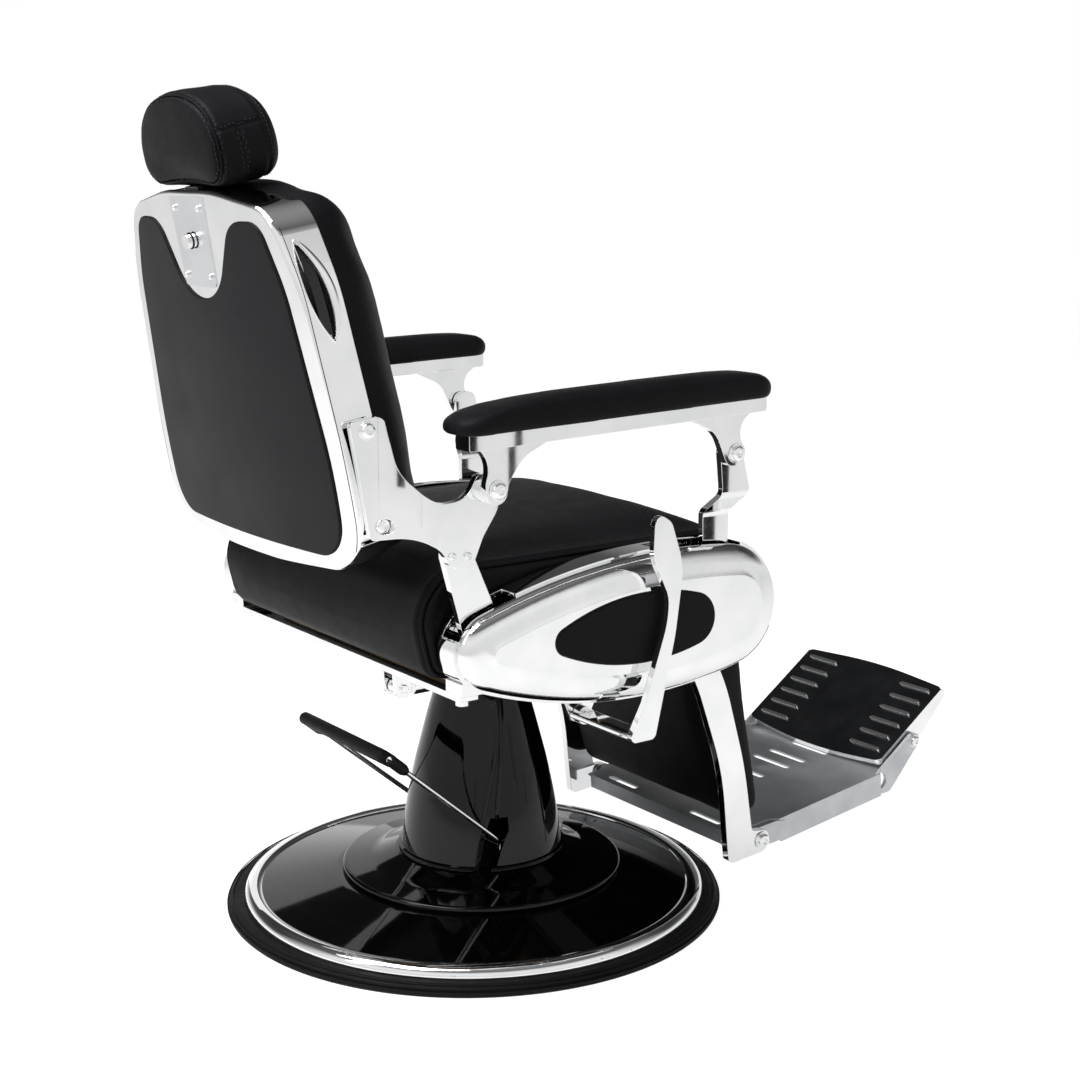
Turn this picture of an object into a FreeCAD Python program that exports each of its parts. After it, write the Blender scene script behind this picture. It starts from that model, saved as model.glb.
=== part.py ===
import FreeCAD, Part
import math
import os
import re
import Sketcher
from FreeCAD import Placement, Rotation, Vector

# Hydraulic barber chair. The sitter faces -Y, +X is the sitter's left, +Z is up.
# The origin is the middle of the base disc, on the floor. Millimetres.

document = FreeCAD.newDocument("BarberChair")
sizes = document.addObject("Spreadsheet::Sheet", "Sizes")

drivingSizes = [
    # Base
    ("rubberRadius", 340, "outside of the rubber edge ring"),
    ("rubberHeight", 14, "height of the rubber edge ring"),
    ("discRadius", 315, "cast base disc"),
    ("discHeight", 10, "cast base disc at its edge"),
    ("bossHeight", 35, "raised middle of the base disc"),
    ("dishRadius", 302, "outside of the pressed dish"),
    ("dishEdge", 23.5, "height of the dish at its edge"),
    ("rimHeight", 25.5, "top of the chromed rim"),
    ("flangeRadius", 190, "round foot of the pump cover"),
    ("flangeFloor", 43, "height at which that foot lies on the dish"),
    ("coverFoot", 71, "lower edge of the pump cover"),
    ("coverFootRadius", 112, "pump cover at its lower edge"),
    ("coverTop", 334, "upper edge of the pump cover"),
    ("coverTopRadius", 52, "pump cover at its upper edge"),
    ("coverWall", 4, "wall of the pump cover"),
    ("columnY", -12, "axis of the column, ahead of the base's middle"),
    # Pump, ram and pedal
    ("ramRadius", 24, "lifting ram"),
    ("ramFoot", 116, "lower end of the ram, lowered"),
    ("ramTop", 372, "upper end of the ram, lowered"),
    ("fit", 0.06, "radial clearance of a running fit"),
    ("barrelRadius", 36, "outside of the pump barrel"),
    ("barrelTop", 300, "upper end of the pump barrel"),
    ("pedalAxisY", 8, "pedal shaft"),
    ("pedalAxisZ", 96, "height of the pedal shaft"),
    ("pedalShaftRadius", 8, "pedal shaft"),
    ("pedalArmInner", 88, "inner face of a pedal arm's eye"),
    ("pedalArmThick", 6, "thickness of a pedal arm's eye"),
    ("pedalRodRadius", 4.5, "rods of the pedal"),
    ("gripHalf", 108, "middle of a pedal rod at the grip"),
    ("gripY", 199, "middle of the pedal grip"),
    ("gripZ", 259, "middle of the pedal grip"),
    ("plungerX", 46, "small pump piston, beside the barrel"),
    ("plungerY", 38, "small pump piston, behind the barrel"),
    ("plungerRadius", 8, "small pump piston"),
    # Seat frame
    ("plateZ", 384, "underside of the mounting plate"),
    ("plateThick", 8, "mounting plate"),
    ("webX", 260, "inner face of a side frame"),
    ("webThick", 5, "web of a side frame"),
    ("rimX", 294, "outer edge of a side frame"),
    ("frameOffset", 4, "side frame beyond the panel's outline"),
    ("frontRoundY", -190, "big round end of a side panel"),
    ("frontRoundZ", 441, "big round end of a side panel"),
    ("frontRound", 80, "radius of that end"),
    ("rearRoundY", 172, "small round end of a side panel"),
    ("rearRoundZ", 437, "small round end of a side panel"),
    ("rearRound", 47, "radius of that end"),
    ("upperArc", 910, "upper edge of a side panel, between its ends"),
    ("lowerArc", 700, "lower edge of a side panel, between its ends"),
    ("domeX", 321, "crown of a side panel"),
    ("insetProud", 3, "black inset above the panel's crown"),
    ("barY", 197, "middle of the rear cross bar"),
    ("barZ", 378.5, "underside of the cross bars"),
    ("barThick", 8, "thickness of the cross bars"),
    ("boardThick", 5, "seat board"),
    # Seat cushion
    ("seatHalf", 254, "half width of the seat cushion"),
    ("seatFront", -243, "front of the seat cushion"),
    ("seatRear", 243, "rear of the seat cushion's roll"),
    ("seatTop", 534, "top of the seat cushion at its sides"),
    ("seatCrown", 12, "rise of the seat cushion's middle"),
    # Arm linkage
    ("backPivotY", 175, "recline axis"),
    ("backPivotZ", 470, "recline axis"),
    ("armPivotRise", 161, "rear arm pivot above the recline axis"),
    ("postPivotY", -186, "foot of the front post"),
    ("postPivotZ", 480, "foot of the front post"),
    ("linkY", 21.93, "link pin behind the recline axis"),
    ("linkZ", -9.76, "link pin above the recline axis"),
    ("pivotBarX", 277, "inner face of a pivot bar"),
    ("wingX", 287, "inner face of a wing at the arm pivot"),
    ("wingThick", 9, "wing bracket"),
    ("flangeX", 247.4, "inner face of a wing on the back"),
    ("postLowX", 272, "inner face of a front post at its foot"),
    ("postHighX", 296, "inner face of a front post at its head"),
    ("postThick", 8.5, "front post"),
    ("linkX", 266, "inner face of a link rod"),
    ("linkThick", 8, "link rod"),
    ("armX", 315, "middle of an arm"),
    ("armBarHalf", 14, "half width of an arm bar"),
    ("armBarHeight", 19, "height of an arm bar"),
    ("armZ", 696, "middle of an arm bar above the base's middle"),
    ("armTilt", 1.6, "rise of an arm towards its front, degrees"),
    ("armFront", -224, "front end of an arm bar"),
    ("armRear", 222, "rear end of an arm bar"),
    ("bracketX", 306.4, "inner face of the arm brackets"),
    ("bracketThick", 10, "arm brackets"),
    ("padHalf", 35, "half width of an arm pad"),
    ("padThick", 34, "height of an arm pad"),
    ("boltRadius", 6, "arm and foot plate bolts"),
    # Back
    ("lean", 9.87, "lean of the back, degrees"),
    ("backFootY", 324.6, "lower end of the back's rear face"),
    ("backFootZ", 530, "lower end of the back's rear face"),
    ("backHalf", 246, "half width of the back shell"),
    ("backTall", 441, "height of the back shell"),
    ("backDeep", 62, "depth of the back shell"),
    ("backBulge", 1900, "radius of the rear face, in plan"),
    ("holdTall", 116, "hand hold in the shell's side"),
    ("holdWide", 27, "hand hold in the shell's side"),
    ("backWall", 3.5, "wall of the back shell"),
    ("cushionFront", 122, "front of the back cushion from the rear face"),
    ("postHalf", 16, "half width of the headrest post"),
    ("postFront", 17, "front of the headrest post from the rear face"),
    ("postRear", 10, "rear of the headrest post from the rear face"),
    ("buttonV", 383, "headrest button above the back's foot"),
    ("buttonRadius", 8.5, "headrest button"),
    ("headrestHalf", 101, "half width of the headrest"),
    ("headrestFoot", 446, "underside of the headrest above the back's foot"),
    ("headrestTall", 107, "height of the headrest"),
    ("headrestDeep", 87, "depth of the headrest"),
    # Leg rest and foot plates
    ("legAxisY", -215, "axis of the leg rest"),
    ("legAxisZ", 385, "axis of the leg rest"),
    ("legTubeRadius", 9.5, "tube of the leg rest"),
    ("legX", 178, "inner face of a leg bar"),
    ("legThick", 12, "leg bar"),
    ("calfHalf", 176, "half width of the calf pad"),
    ("footAxisY", -364, "axis of the foot plate"),
    ("footAxisZ", 53, "axis of the foot plate"),
    ("footTop", 66, "top of the foot plate"),
    ("footThick", 3, "sheet of the foot plate"),
    ("footTilt", 4.5, "rise of the foot plate towards its front, degrees"),
    ("footRear", -325, "rear edge of the foot plate"),
    ("footFront", -700, "front edge of the foot plate"),
    ("footWide", 175, "half width of the foot plate, rear"),
    ("footNarrow", 155, "half width of the foot plate, front"),
    ("slotLength", 78, "slots of the foot plate"),
    ("slotWidth", 10, "slots of the foot plate"),
    ("flipAxisY", -709, "axis of the flip plate"),
    ("flipAxisZ", 126, "axis of the flip plate"),
    ("flipAngle", 34.8, "slope of the flip plate, degrees"),
    ("flipHalf", 146, "half width of the flip plate"),
    ("flipLong", 163, "length of the flip plate"),
    ("flipThick", 3, "sheet of the flip plate"),
    ("flipFootY", -644, "lower edge of the flip plate"),
    ("flipFootZ", 104, "lower edge of the flip plate"),
    ("ribInner", 74, "inner end of the flip plate's ribs"),
    ("ribOuter", 128, "outer end of the flip plate's ribs"),
    ("ribPitch", 26, "spacing of the flip plate's ribs"),
    # Lock cylinder and recline lever
    ("lockX", -120, "middle of the lock cylinder"),
    ("lockZ", 357.3, "axis of the lock cylinder"),
    ("lockRearY", 193, "rear pin of the lock cylinder"),
    ("lockFrontY", -203.5, "front pin of the lock cylinder"),
    ("lockRadius", 14, "tube of the lock cylinder"),
    ("leverX", 333, "inner face of the recline lever"),
    ("leverThick", 9, "recline lever"),
    ("leverAxisY", -28, "axis of the recline lever"),
    ("leverAxisZ", 304, "axis of the recline lever"),
    ("leverHubX", 205, "inner end of the lever's cross arm"),
]

aliases = set()
for row, (alias, number, note) in enumerate(drivingSizes, start=1):
    sizes.set("A%d" % row, note)
    sizes.set("B%d" % row, str(number))
    sizes.setAlias("B%d" % row, alias)
    aliases.add(alias)
document.recompute()


# Words of a size formula that name a cell get the sheet's name in front
def bound(formula):
    return re.sub(r"[A-Za-z]\w*",
                  lambda word: "Sizes." + word.group() if word.group() in aliases else word.group(),
                  str(formula))


def value(formula):
    result = sizes.evalExpression(bound(formula))
    return float(getattr(result, "Value", result))


def newBody(label):
    body = document.addObject("PartDesign::Body", label)
    body.Label = label
    return body


def originPlane(body, role):
    return next(feature for feature in body.Origin.OriginFeatures if feature.Role == role)


# A sketch on one of its body's planes, moved along that plane's normal.
# Side views lie on YZ (normal +X), plans on XY (normal +Z), front views on XZ (normal -Y).
def newSketch(body, role, offset="0"):
    sketch = body.newObject("Sketcher::SketchObject", body.Name + "Outline")
    sketch.AttachmentSupport = [(originPlane(body, role), "")]
    sketch.MapMode = "FlatFace"
    sketch.AttachmentOffset = Placement(Vector(0, 0, value(offset)), Rotation())
    sketch.setExpression("AttachmentOffset.Base.z", bound(offset))
    return sketch


def pin(sketch, kind, reference, formula):
    index = sketch.addConstraint(Sketcher.Constraint(kind, *reference, value(formula)))
    if bound(formula) != str(formula):
        sketch.setExpression("Constraints[%d]" % index, bound(formula))


def circle(sketch, across, up, radius):
    middle = Vector(value(across), value(up), 0)
    index = sketch.addGeometry(Part.Circle(middle, Vector(0, 0, 1), value(radius)))
    pin(sketch, "DistanceX", (-1, 1, index, 3), across)
    pin(sketch, "DistanceY", (-1, 1, index, 3), up)
    pin(sketch, "Radius", (index,), radius)


# A belt round circles listed counterclockwise: tangent lines join their outer arcs
def belt(sketch, circles):
    rounds = [tuple(value(part) for part in entry) for entry in circles]
    count = len(rounds)
    leaving = []
    for index in range(count):
        ax, ay, ar = rounds[index]
        bx, by, br = rounds[(index + 1) % count]
        span = math.hypot(bx - ax, by - ay)
        leaving.append(math.atan2(by - ay, bx - ax) - math.acos((ar - br) / span))
    first = sketch.GeometryCount
    for index in range(count):
        x, y, radius = rounds[index]
        start = leaving[index - 1]
        end = leaving[index]
        while end < start:
            end += 2 * math.pi
        while end > start + 2 * math.pi:
            end -= 2 * math.pi
        sketch.addGeometry(Part.ArcOfCircle(Part.Circle(Vector(x, y, 0), Vector(0, 0, 1), radius), start, end))
    for index in range(count):
        ax, ay, ar = rounds[index]
        bx, by, br = rounds[(index + 1) % count]
        side = Vector(math.cos(leaving[index]), math.sin(leaving[index]), 0)
        sketch.addGeometry(Part.LineSegment(Vector(ax, ay, 0) + side * ar, Vector(bx, by, 0) + side * br))
    for index in range(count):
        line = first + count + index
        sketch.addConstraint(Sketcher.Constraint("Tangent", first + index, 2, line, 1))
        sketch.addConstraint(Sketcher.Constraint("Tangent", line, 2, first + (index + 1) % count, 1))
    for index, (across, up, radius) in enumerate(circles):
        pin(sketch, "DistanceX", (-1, 1, first + index, 3), across)
        pin(sketch, "DistanceY", (-1, 1, first + index, 3), up)
        pin(sketch, "Radius", (first + index,), radius)


# A closed outline of straight runs: each corner is (across, up) or (across, up, radius)
def outline(sketch, corners):
    marks = [Vector(value(corner[0]), value(corner[1]), 0) for corner in corners]
    radii = [value(corner[2]) if len(corner) > 2 else 0 for corner in corners]
    count = len(marks)
    arrive = []
    depart = []
    arcs = []
    for index, mark in enumerate(marks):
        before = (marks[index - 1] - mark).normalize()
        after = (marks[(index + 1) % count] - mark).normalize()
        if radii[index] == 0:
            arrive.append(mark)
            depart.append(mark)
            arcs.append(None)
            continue
        half = before.getAngle(after) / 2
        reach = radii[index] / math.tan(half)
        middle = mark + (before + after).normalize() * (radii[index] / math.sin(half))
        arrive.append(mark + before * reach)
        depart.append(mark + after * reach)
        turn = (before * -1).cross(after).z
        start, end = (arrive[-1], depart[-1]) if turn > 0 else (depart[-1], arrive[-1])
        startAngle = math.atan2(start.y - middle.y, start.x - middle.x)
        endAngle = math.atan2(end.y - middle.y, end.x - middle.x)
        while endAngle < startAngle:
            endAngle += 2 * math.pi
        arcs.append((middle, radii[index], startAngle, endAngle, turn > 0))
    first = sketch.GeometryCount
    for index in range(count):
        sketch.addGeometry(Part.LineSegment(depart[index], arrive[(index + 1) % count]))
    for index, arc in enumerate(arcs):
        line, earlier = first + index, first + (index - 1) % count
        across, up = corners[index][:2]
        if arc is None:
            sketch.addConstraint(Sketcher.Constraint("Coincident", earlier, 2, line, 1))
            pin(sketch, "DistanceX", (-1, 1, line, 1), across)
            pin(sketch, "DistanceY", (-1, 1, line, 1), up)
            continue
        middle, radius, startAngle, endAngle, left = arc
        bend = sketch.addGeometry(Part.ArcOfCircle(Part.Circle(middle, Vector(0, 0, 1), radius), startAngle, endAngle))
        corner = sketch.addGeometry(Part.Point(marks[index]), True)
        sketch.addConstraint(Sketcher.Constraint("Tangent", earlier, 2, bend, 1 if left else 2))
        sketch.addConstraint(Sketcher.Constraint("Tangent", bend, 2 if left else 1, line, 1))
        sketch.addConstraint(Sketcher.Constraint("PointOnObject", corner, 1, earlier))
        sketch.addConstraint(Sketcher.Constraint("PointOnObject", corner, 1, line))
        pin(sketch, "DistanceX", (-1, 1, corner, 1), across)
        pin(sketch, "DistanceY", (-1, 1, corner, 1), up)
        pin(sketch, "Radius", (bend,), corners[index][2])


# Counterclockwise corners moved inwards by an inset
def shrunk(corners, inset):
    marks = [Vector(value(corner[0]), value(corner[1]), 0) for corner in corners]
    moved = []
    for index, (across, up, radius) in enumerate(corners):
        before = (marks[index] - marks[index - 1]).normalize()
        after = (marks[(index + 1) % len(marks)] - marks[index]).normalize()
        inwards = Vector(-before.y - after.y, before.x + after.x, 0) * (1 / (1 + before.dot(after)))
        moved.append(("%s + %.6f * (%s)" % (across, inwards.x, inset), "%s + %.6f * (%s)" % (up, inwards.y, inset),
                      "%s - (%s)" % (radius, inset)))
    return moved


# Right half of an outline, from its foot up, and its mirror image
def mirrored(corners):
    return corners + [("-(%s)" % across, up, radius) for across, up, radius in reversed(corners)]


# An egg seen from the side: two round ends joined by an upper and a lower arc, each (across, up, radius)
def egg(sketch, front, rear, upper, lower, inset):
    rounds = [tuple(value(part) for part in entry) for entry in (front, rear)]
    ends = [Vector(across, up, 0) for across, up, radius in rounds]
    span = ends[1] - ends[0]

    def between(arc, side):
        near, far = arc - rounds[0][2], arc - rounds[1][2]
        along = (near * near - far * far + span.Length ** 2) / (2 * span.Length)
        aside = Vector(-span.y, span.x, 0).normalize() * (side * math.sqrt(near * near - along * along))
        return ends[0] + Vector(span).normalize() * along + aside

    def angle(middle, end):
        away = end - middle
        return math.atan2(away.y, away.x)
    above = between(value(upper), -1)
    below = between(value(lower), 1)
    inward = value(inset)
    marks = [(ends[1], rounds[1][2], angle(below, ends[1]), angle(above, ends[1])),
             (above, value(upper), angle(above, ends[1]), angle(above, ends[0])),
             (ends[0], rounds[0][2], angle(above, ends[0]), angle(below, ends[0])),
             (below, value(lower), angle(below, ends[0]), angle(below, ends[1]))]
    first = sketch.GeometryCount
    for middle, radius, start, end in marks:
        while end < start:
            end += 2 * math.pi
        sketch.addGeometry(Part.ArcOfCircle(Part.Circle(middle, Vector(0, 0, 1), radius - inward), start, end))
    for index in range(4):
        sketch.addConstraint(Sketcher.Constraint("Tangent", first + index, 2, first + (index + 1) % 4, 1))
    for index, (across, up, radius) in ((0, rear), (2, front)):
        pin(sketch, "DistanceX", (-1, 1, first + index, 3), across)
        pin(sketch, "DistanceY", (-1, 1, first + index, 3), up)
        pin(sketch, "Radius", (first + index,), "%s - (%s)" % (radius, inset))
    pin(sketch, "Radius", (first + 1,), "%s - (%s)" % (upper, inset))
    pin(sketch, "Radius", (first + 3,), "%s - (%s)" % (lower, inset))


def rectangle(sketch, left, low, right, high):
    outline(sketch, [(left, low), (right, low), (right, high), (left, high)])


def pad(body, sketch, length, reverse=False):
    feature = body.newObject("PartDesign::Pad", body.Name + "Pad")
    feature.Profile = sketch
    feature.setExpression("Length", bound(length))
    feature.Length = value(length)
    feature.Reversed = reverse
    sketch.Visibility = False
    document.recompute()
    return feature


# A pocket goes against its sketch's normal, and has to take something away
def pocket(body, sketch, length, reverse=False):
    before = body.Shape.Volume
    feature = body.newObject("PartDesign::Pocket", body.Name + "Pocket")
    feature.Profile = sketch
    feature.setExpression("Length", bound(length))
    feature.Length = value(length)
    feature.Reversed = reverse
    document.recompute()
    if not body.Shape.Volume < before - 1e-3:
        raise ValueError("pocket of %s cuts nothing" % body.Label)
    return feature


def revolve(body, sketch):
    feature = body.newObject("PartDesign::Revolution", body.Name + "Revolution")
    feature.Profile = sketch
    feature.ReferenceAxis = (sketch, ["V_Axis"])
    feature.Angle = 360
    document.recompute()
    return feature


def loft(body, sketches, subtract=False, ruled=False):
    kind = "PartDesign::SubtractiveLoft" if subtract else "PartDesign::AdditiveLoft"
    feature = body.newObject(kind, body.Name + "Loft")
    feature.Profile = sketches[0]
    feature.Sections = sketches[1:]
    feature.Ruled = ruled
    document.recompute()
    return feature


# Rounds the edges whose every end passes a test
def roundEdges(body, radius, chosen):
    names = []
    for index, edge in enumerate(body.Shape.Edges, start=1):
        if chosen(edge):
            names.append("Edge%d" % index)
    feature = body.newObject("PartDesign::Fillet", body.Name + "Fillet")
    feature.Base = (feature.BaseFeature, names)
    feature.setExpression("Radius", bound(radius))
    feature.Radius = value(radius)
    document.recompute()
    return feature


def lying(axis, formula, tolerance=0.02):
    level = value(formula)
    index = "xyz".index(axis)
    return lambda edge: all(abs(point[index] - level) < tolerance
                            for point in [vertex.Point for vertex in edge.Vertexes] + [edge.CenterOfMass])


# Pieces of the left (+X) and right (-X) side share one recipe: distances grow outwards
sides = (("left", 1), ("right", -1))


def sidePlane(body, side, distance):
    return newSketch(body, "YZ_Plane", "%d * (%s)" % (side, distance))


def sidePad(body, side, sketch, length):
    return pad(body, sketch, length, side < 0)


def sidePocket(body, side, sketch, length):
    return pocket(body, sketch, length, side < 0)


# Cuts away all of a body outside an outline seen from the side
def trimSide(body, side, outer, depth, draw):
    sketch = sidePlane(body, side, outer)
    rectangle(sketch, "-900", "-100", "900", "1300")
    draw(sketch)
    return sidePocket(body, side, sketch, depth)


def onColumn(body):
    body.setExpression("Placement.Base.y", bound("columnY"))


# The back and the headrest are drawn upright, from the foot of the rear face, and then lean
def leanBack(body):
    body.Placement = Placement(Vector(0, value("backFootY"), value("backFootZ")),
                               Rotation(Vector(-1, 0, 0), value("lean")))
    body.setExpression("Placement.Base.y", bound("backFootY"))
    body.setExpression("Placement.Base.z", bound("backFootZ"))
    body.setExpression("Placement.Rotation.Angle", bound("lean"))


# Base

def makeBase():
    disc = newBody("base_disc")
    sketch = newSketch(disc, "XZ_Plane")
    outline(sketch, [("0", "0"), ("discRadius", "0"), ("discRadius", "discHeight"), ("102", "discHeight"),
                     ("96", "bossHeight"), ("0", "bossHeight")])
    revolve(disc, sketch)

    dish = newBody("base_dish")
    sketch = newSketch(dish, "XZ_Plane")
    outline(sketch, [("dishRadius", "dishEdge - 3"), ("dishRadius", "dishEdge"), ("flangeRadius - 4", "flangeFloor", "60"),
                     ("95", "bossHeight + 3"), ("95", "bossHeight"), ("flangeRadius - 4", "flangeFloor - 3", "60")])
    revolve(dish, sketch)

    rim = newBody("base_rim")
    sketch = newSketch(rim, "XZ_Plane")
    outline(sketch, [("dishRadius", "discHeight"), ("discRadius", "discHeight"),
                     ("discRadius", "rimHeight", "8"), ("dishRadius", "rimHeight", "0.8")])
    revolve(rim, sketch)

    rubber = newBody("base_rubber_ring")
    sketch = newSketch(rubber, "XZ_Plane")
    outline(sketch, [("discRadius", "0"), ("rubberRadius - 2", "0"), ("rubberRadius", "2"),
                     ("rubberRadius", "rubberHeight * 0.45"), ("rubberRadius - 3", "rubberHeight * 0.52"),
                     ("rubberRadius - 3", "rubberHeight * 0.62"), ("rubberRadius - 7", "rubberHeight * 0.86"),
                     ("rubberRadius - 14", "rubberHeight"), ("discRadius", "rubberHeight")])
    revolve(rubber, sketch)

    flange = newBody("cover_flange")
    onColumn(flange)
    sketch = newSketch(flange, "XZ_Plane")
    outline(sketch, [("flangeRadius - 6", "flangeFloor"), ("flangeRadius", "flangeFloor"),
                     ("flangeRadius + 1", "flangeFloor + 9", "4"), ("flangeRadius - 40", "flangeFloor + 15", "60"),
                     ("coverFootRadius + 6", "coverFoot - 2", "12"), ("coverFootRadius - 10", "coverFoot"),
                     ("coverFootRadius - 10", "coverFoot - 4"), ("coverFootRadius + 6", "coverFoot - 6", "12"),
                     ("flangeRadius - 40", "flangeFloor + 11", "60"), ("flangeRadius - 6", "flangeFloor + 6")])
    revolve(flange, sketch)


def makePumpCover():
    cover = newBody("pump_cover")
    onColumn(cover)
    sketch = newSketch(cover, "XZ_Plane")
    outline(sketch, [("coverFootRadius + 3", "coverFoot"), ("coverFootRadius + 3", "coverFoot + 5"),
                     ("coverFootRadius - 1", "coverFoot + 6"), ("coverFootRadius - 7.3", "coverFoot + 55", "800"),
                     ("coverFootRadius - 20", "coverFoot + 119", "700"),
                     ("coverFootRadius - 39", "coverFoot + 192", "700"), ("coverTopRadius", "coverTop", "6"),
                     ("coverTopRadius - 16", "coverTop"), ("coverTopRadius - 16", "coverTop - coverWall"),
                     ("coverTopRadius - coverWall", "coverTop - coverWall", "3"),
                     ("coverFootRadius - 39 - coverWall", "coverFoot + 192", "700"),
                     ("coverFootRadius - 20 - coverWall", "coverFoot + 119", "700"),
                     ("coverFootRadius - 7.3 - coverWall", "coverFoot + 55", "800"),
                     ("coverFootRadius - 1 - coverWall", "coverFoot")])
    revolve(cover, sketch)
    # The pedal's rods pass through an upright slot on each side and travel down in it
    sketch = newSketch(cover, "XZ_Plane", "-122")
    low, high = "coverFoot - 1", "coverFoot + 70"
    inner, outer = "pedalArmInner - 1", "pedalArmInner + pedalArmThick + 8"
    rectangle(sketch, inner, low, outer, high)
    rectangle(sketch, "-(%s)" % outer, low, "-(%s)" % inner, high)
    pocket(cover, sketch, "98", True)


def makePump():
    pump = newBody("pump_body")
    onColumn(pump)
    sketch = newSketch(pump, "XZ_Plane")
    outline(sketch, [("0", "bossHeight"), ("80", "bossHeight"), ("80", "bossHeight + 12"),
                     ("barrelRadius", "bossHeight + 12", "6"), ("barrelRadius", "barrelTop - 2"),
                     ("barrelRadius + 3", "barrelTop"), ("barrelRadius + 3", "barrelTop + 10"),
                     ("ramRadius + fit", "barrelTop + 14"), ("ramRadius + fit", "ramFoot - 4"), ("0", "ramFoot - 4")])
    revolve(pump, sketch)
    # Barrel of the small piston beside the main one
    sketch = newSketch(pump, "XY_Plane", "bossHeight + 12")
    circle(sketch, "plungerX", "plungerY - columnY", "plungerRadius + 6")
    pad(pump, sketch, "20")
    sketch = newSketch(pump, "XY_Plane", "bossHeight + 32")
    circle(sketch, "plungerX", "plungerY - columnY", "plungerRadius + fit")
    pocket(pump, sketch, "30")
    # Cross bore of the pedal shaft
    sketch = newSketch(pump, "YZ_Plane", "-60")
    circle(sketch, "pedalAxisY - columnY", "pedalAxisZ", "pedalShaftRadius + fit")
    pocket(pump, sketch, "120", True)

    # Heads of the four foot bolts
    sketch = newSketch(pump, "XY_Plane", "bossHeight + 12")
    for turn in (22, 112, 202, 292):
        circle(sketch, "66 * cos(%d)" % turn, "66 * sin(%d)" % turn, "8")
    pad(pump, sketch, "7")

    ram = document.addObject("Part::Cylinder", "ram")
    ram.Label = "ram"
    ram.setExpression("Radius", bound("ramRadius"))
    ram.setExpression("Height", bound("ramTop - ramFoot"))
    ram.setExpression("Placement.Base.y", bound("columnY"))
    ram.setExpression("Placement.Base.z", bound("ramFoot"))

    plunger = document.addObject("Part::Cylinder", "pump_plunger")
    plunger.Label = "pump_plunger"
    plunger.setExpression("Radius", bound("plungerRadius"))
    plunger.Height = 32
    plunger.setExpression("Placement.Base.x", bound("plungerX"))
    plunger.setExpression("Placement.Base.y", bound("plungerY"))
    plunger.setExpression("Placement.Base.z", bound("pedalAxisZ - 8.8 - 32"))


def makePedal():
    shaft = newBody("pedal_shaft")
    sketch = newSketch(shaft, "YZ_Plane", "-pedalArmInner - pedalArmThick")
    circle(sketch, "pedalAxisY", "pedalAxisZ", "pedalShaftRadius")
    pad(shaft, sketch, "2 * (pedalArmInner + pedalArmThick)")
    # Finger that presses on the small piston
    sketch = newSketch(shaft, "YZ_Plane", "plungerX - 6")
    belt(sketch, [("pedalAxisY", "pedalAxisZ", "8.5"), ("plungerY", "pedalAxisZ", "8.5")])
    pad(shaft, sketch, "12")

    # Two eyes on the shaft, two rods that spread towards the grip and the rod inside it
    frame = newBody("pedal_frame")
    sketch = newSketch(frame, "YZ_Plane", "-gripHalf")
    circle(sketch, "gripY", "gripZ", "pedalRodRadius")
    pad(frame, sketch, "2 * gripHalf")
    for name, side in sides:
        sections = []
        for across, depth, up in (("pedalArmInner + pedalArmThick / 2", "pedalAxisY + 10", "pedalAxisZ + 8.5"),
                                  ("gripHalf", "gripY", "gripZ")):
            sketch = newSketch(frame, "XZ_Plane", "-(%s)" % depth)
            circle(sketch, "%d * (%s)" % (side, across), up, "pedalRodRadius")
            sections.append(sketch)
        loft(frame, sections, ruled=True)
    for name, side in sides:
        sketch = sidePlane(frame, side, "pedalArmInner")
        circle(sketch, "pedalAxisY", "pedalAxisZ", "14")
        sidePad(frame, side, sketch, "pedalArmThick")
        sketch = sidePlane(frame, side, "pedalArmInner + pedalArmThick")
        circle(sketch, "pedalAxisY", "pedalAxisZ", "pedalShaftRadius")
        sidePocket(frame, side, sketch, "pedalArmThick")

    grip = newBody("pedal_grip")
    sketch = newSketch(grip, "YZ_Plane", "6 - gripHalf")
    belt(sketch, [("gripY - 6", "gripZ - 4.4", "8"), ("gripY + 6", "gripZ + 4.4", "8")])
    circle(sketch, "gripY", "gripZ", "pedalRodRadius")
    pad(grip, sketch, "2 * gripHalf - 12")


# Seat frame

# Edge of a side panel, drawn in by an inset
def panelEdge(sketch, inset):
    egg(sketch, ("frontRoundY", "frontRoundZ", "frontRound"), ("rearRoundY", "rearRoundZ", "rearRound"),
        "upperArc", "lowerArc", inset)


def insetEdge(sketch):
    egg(sketch, ("-117", "frontRoundZ - 2", "34"), ("78.5", "frontRoundZ - 1.5", "18"), "300", "320", "0")


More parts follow.
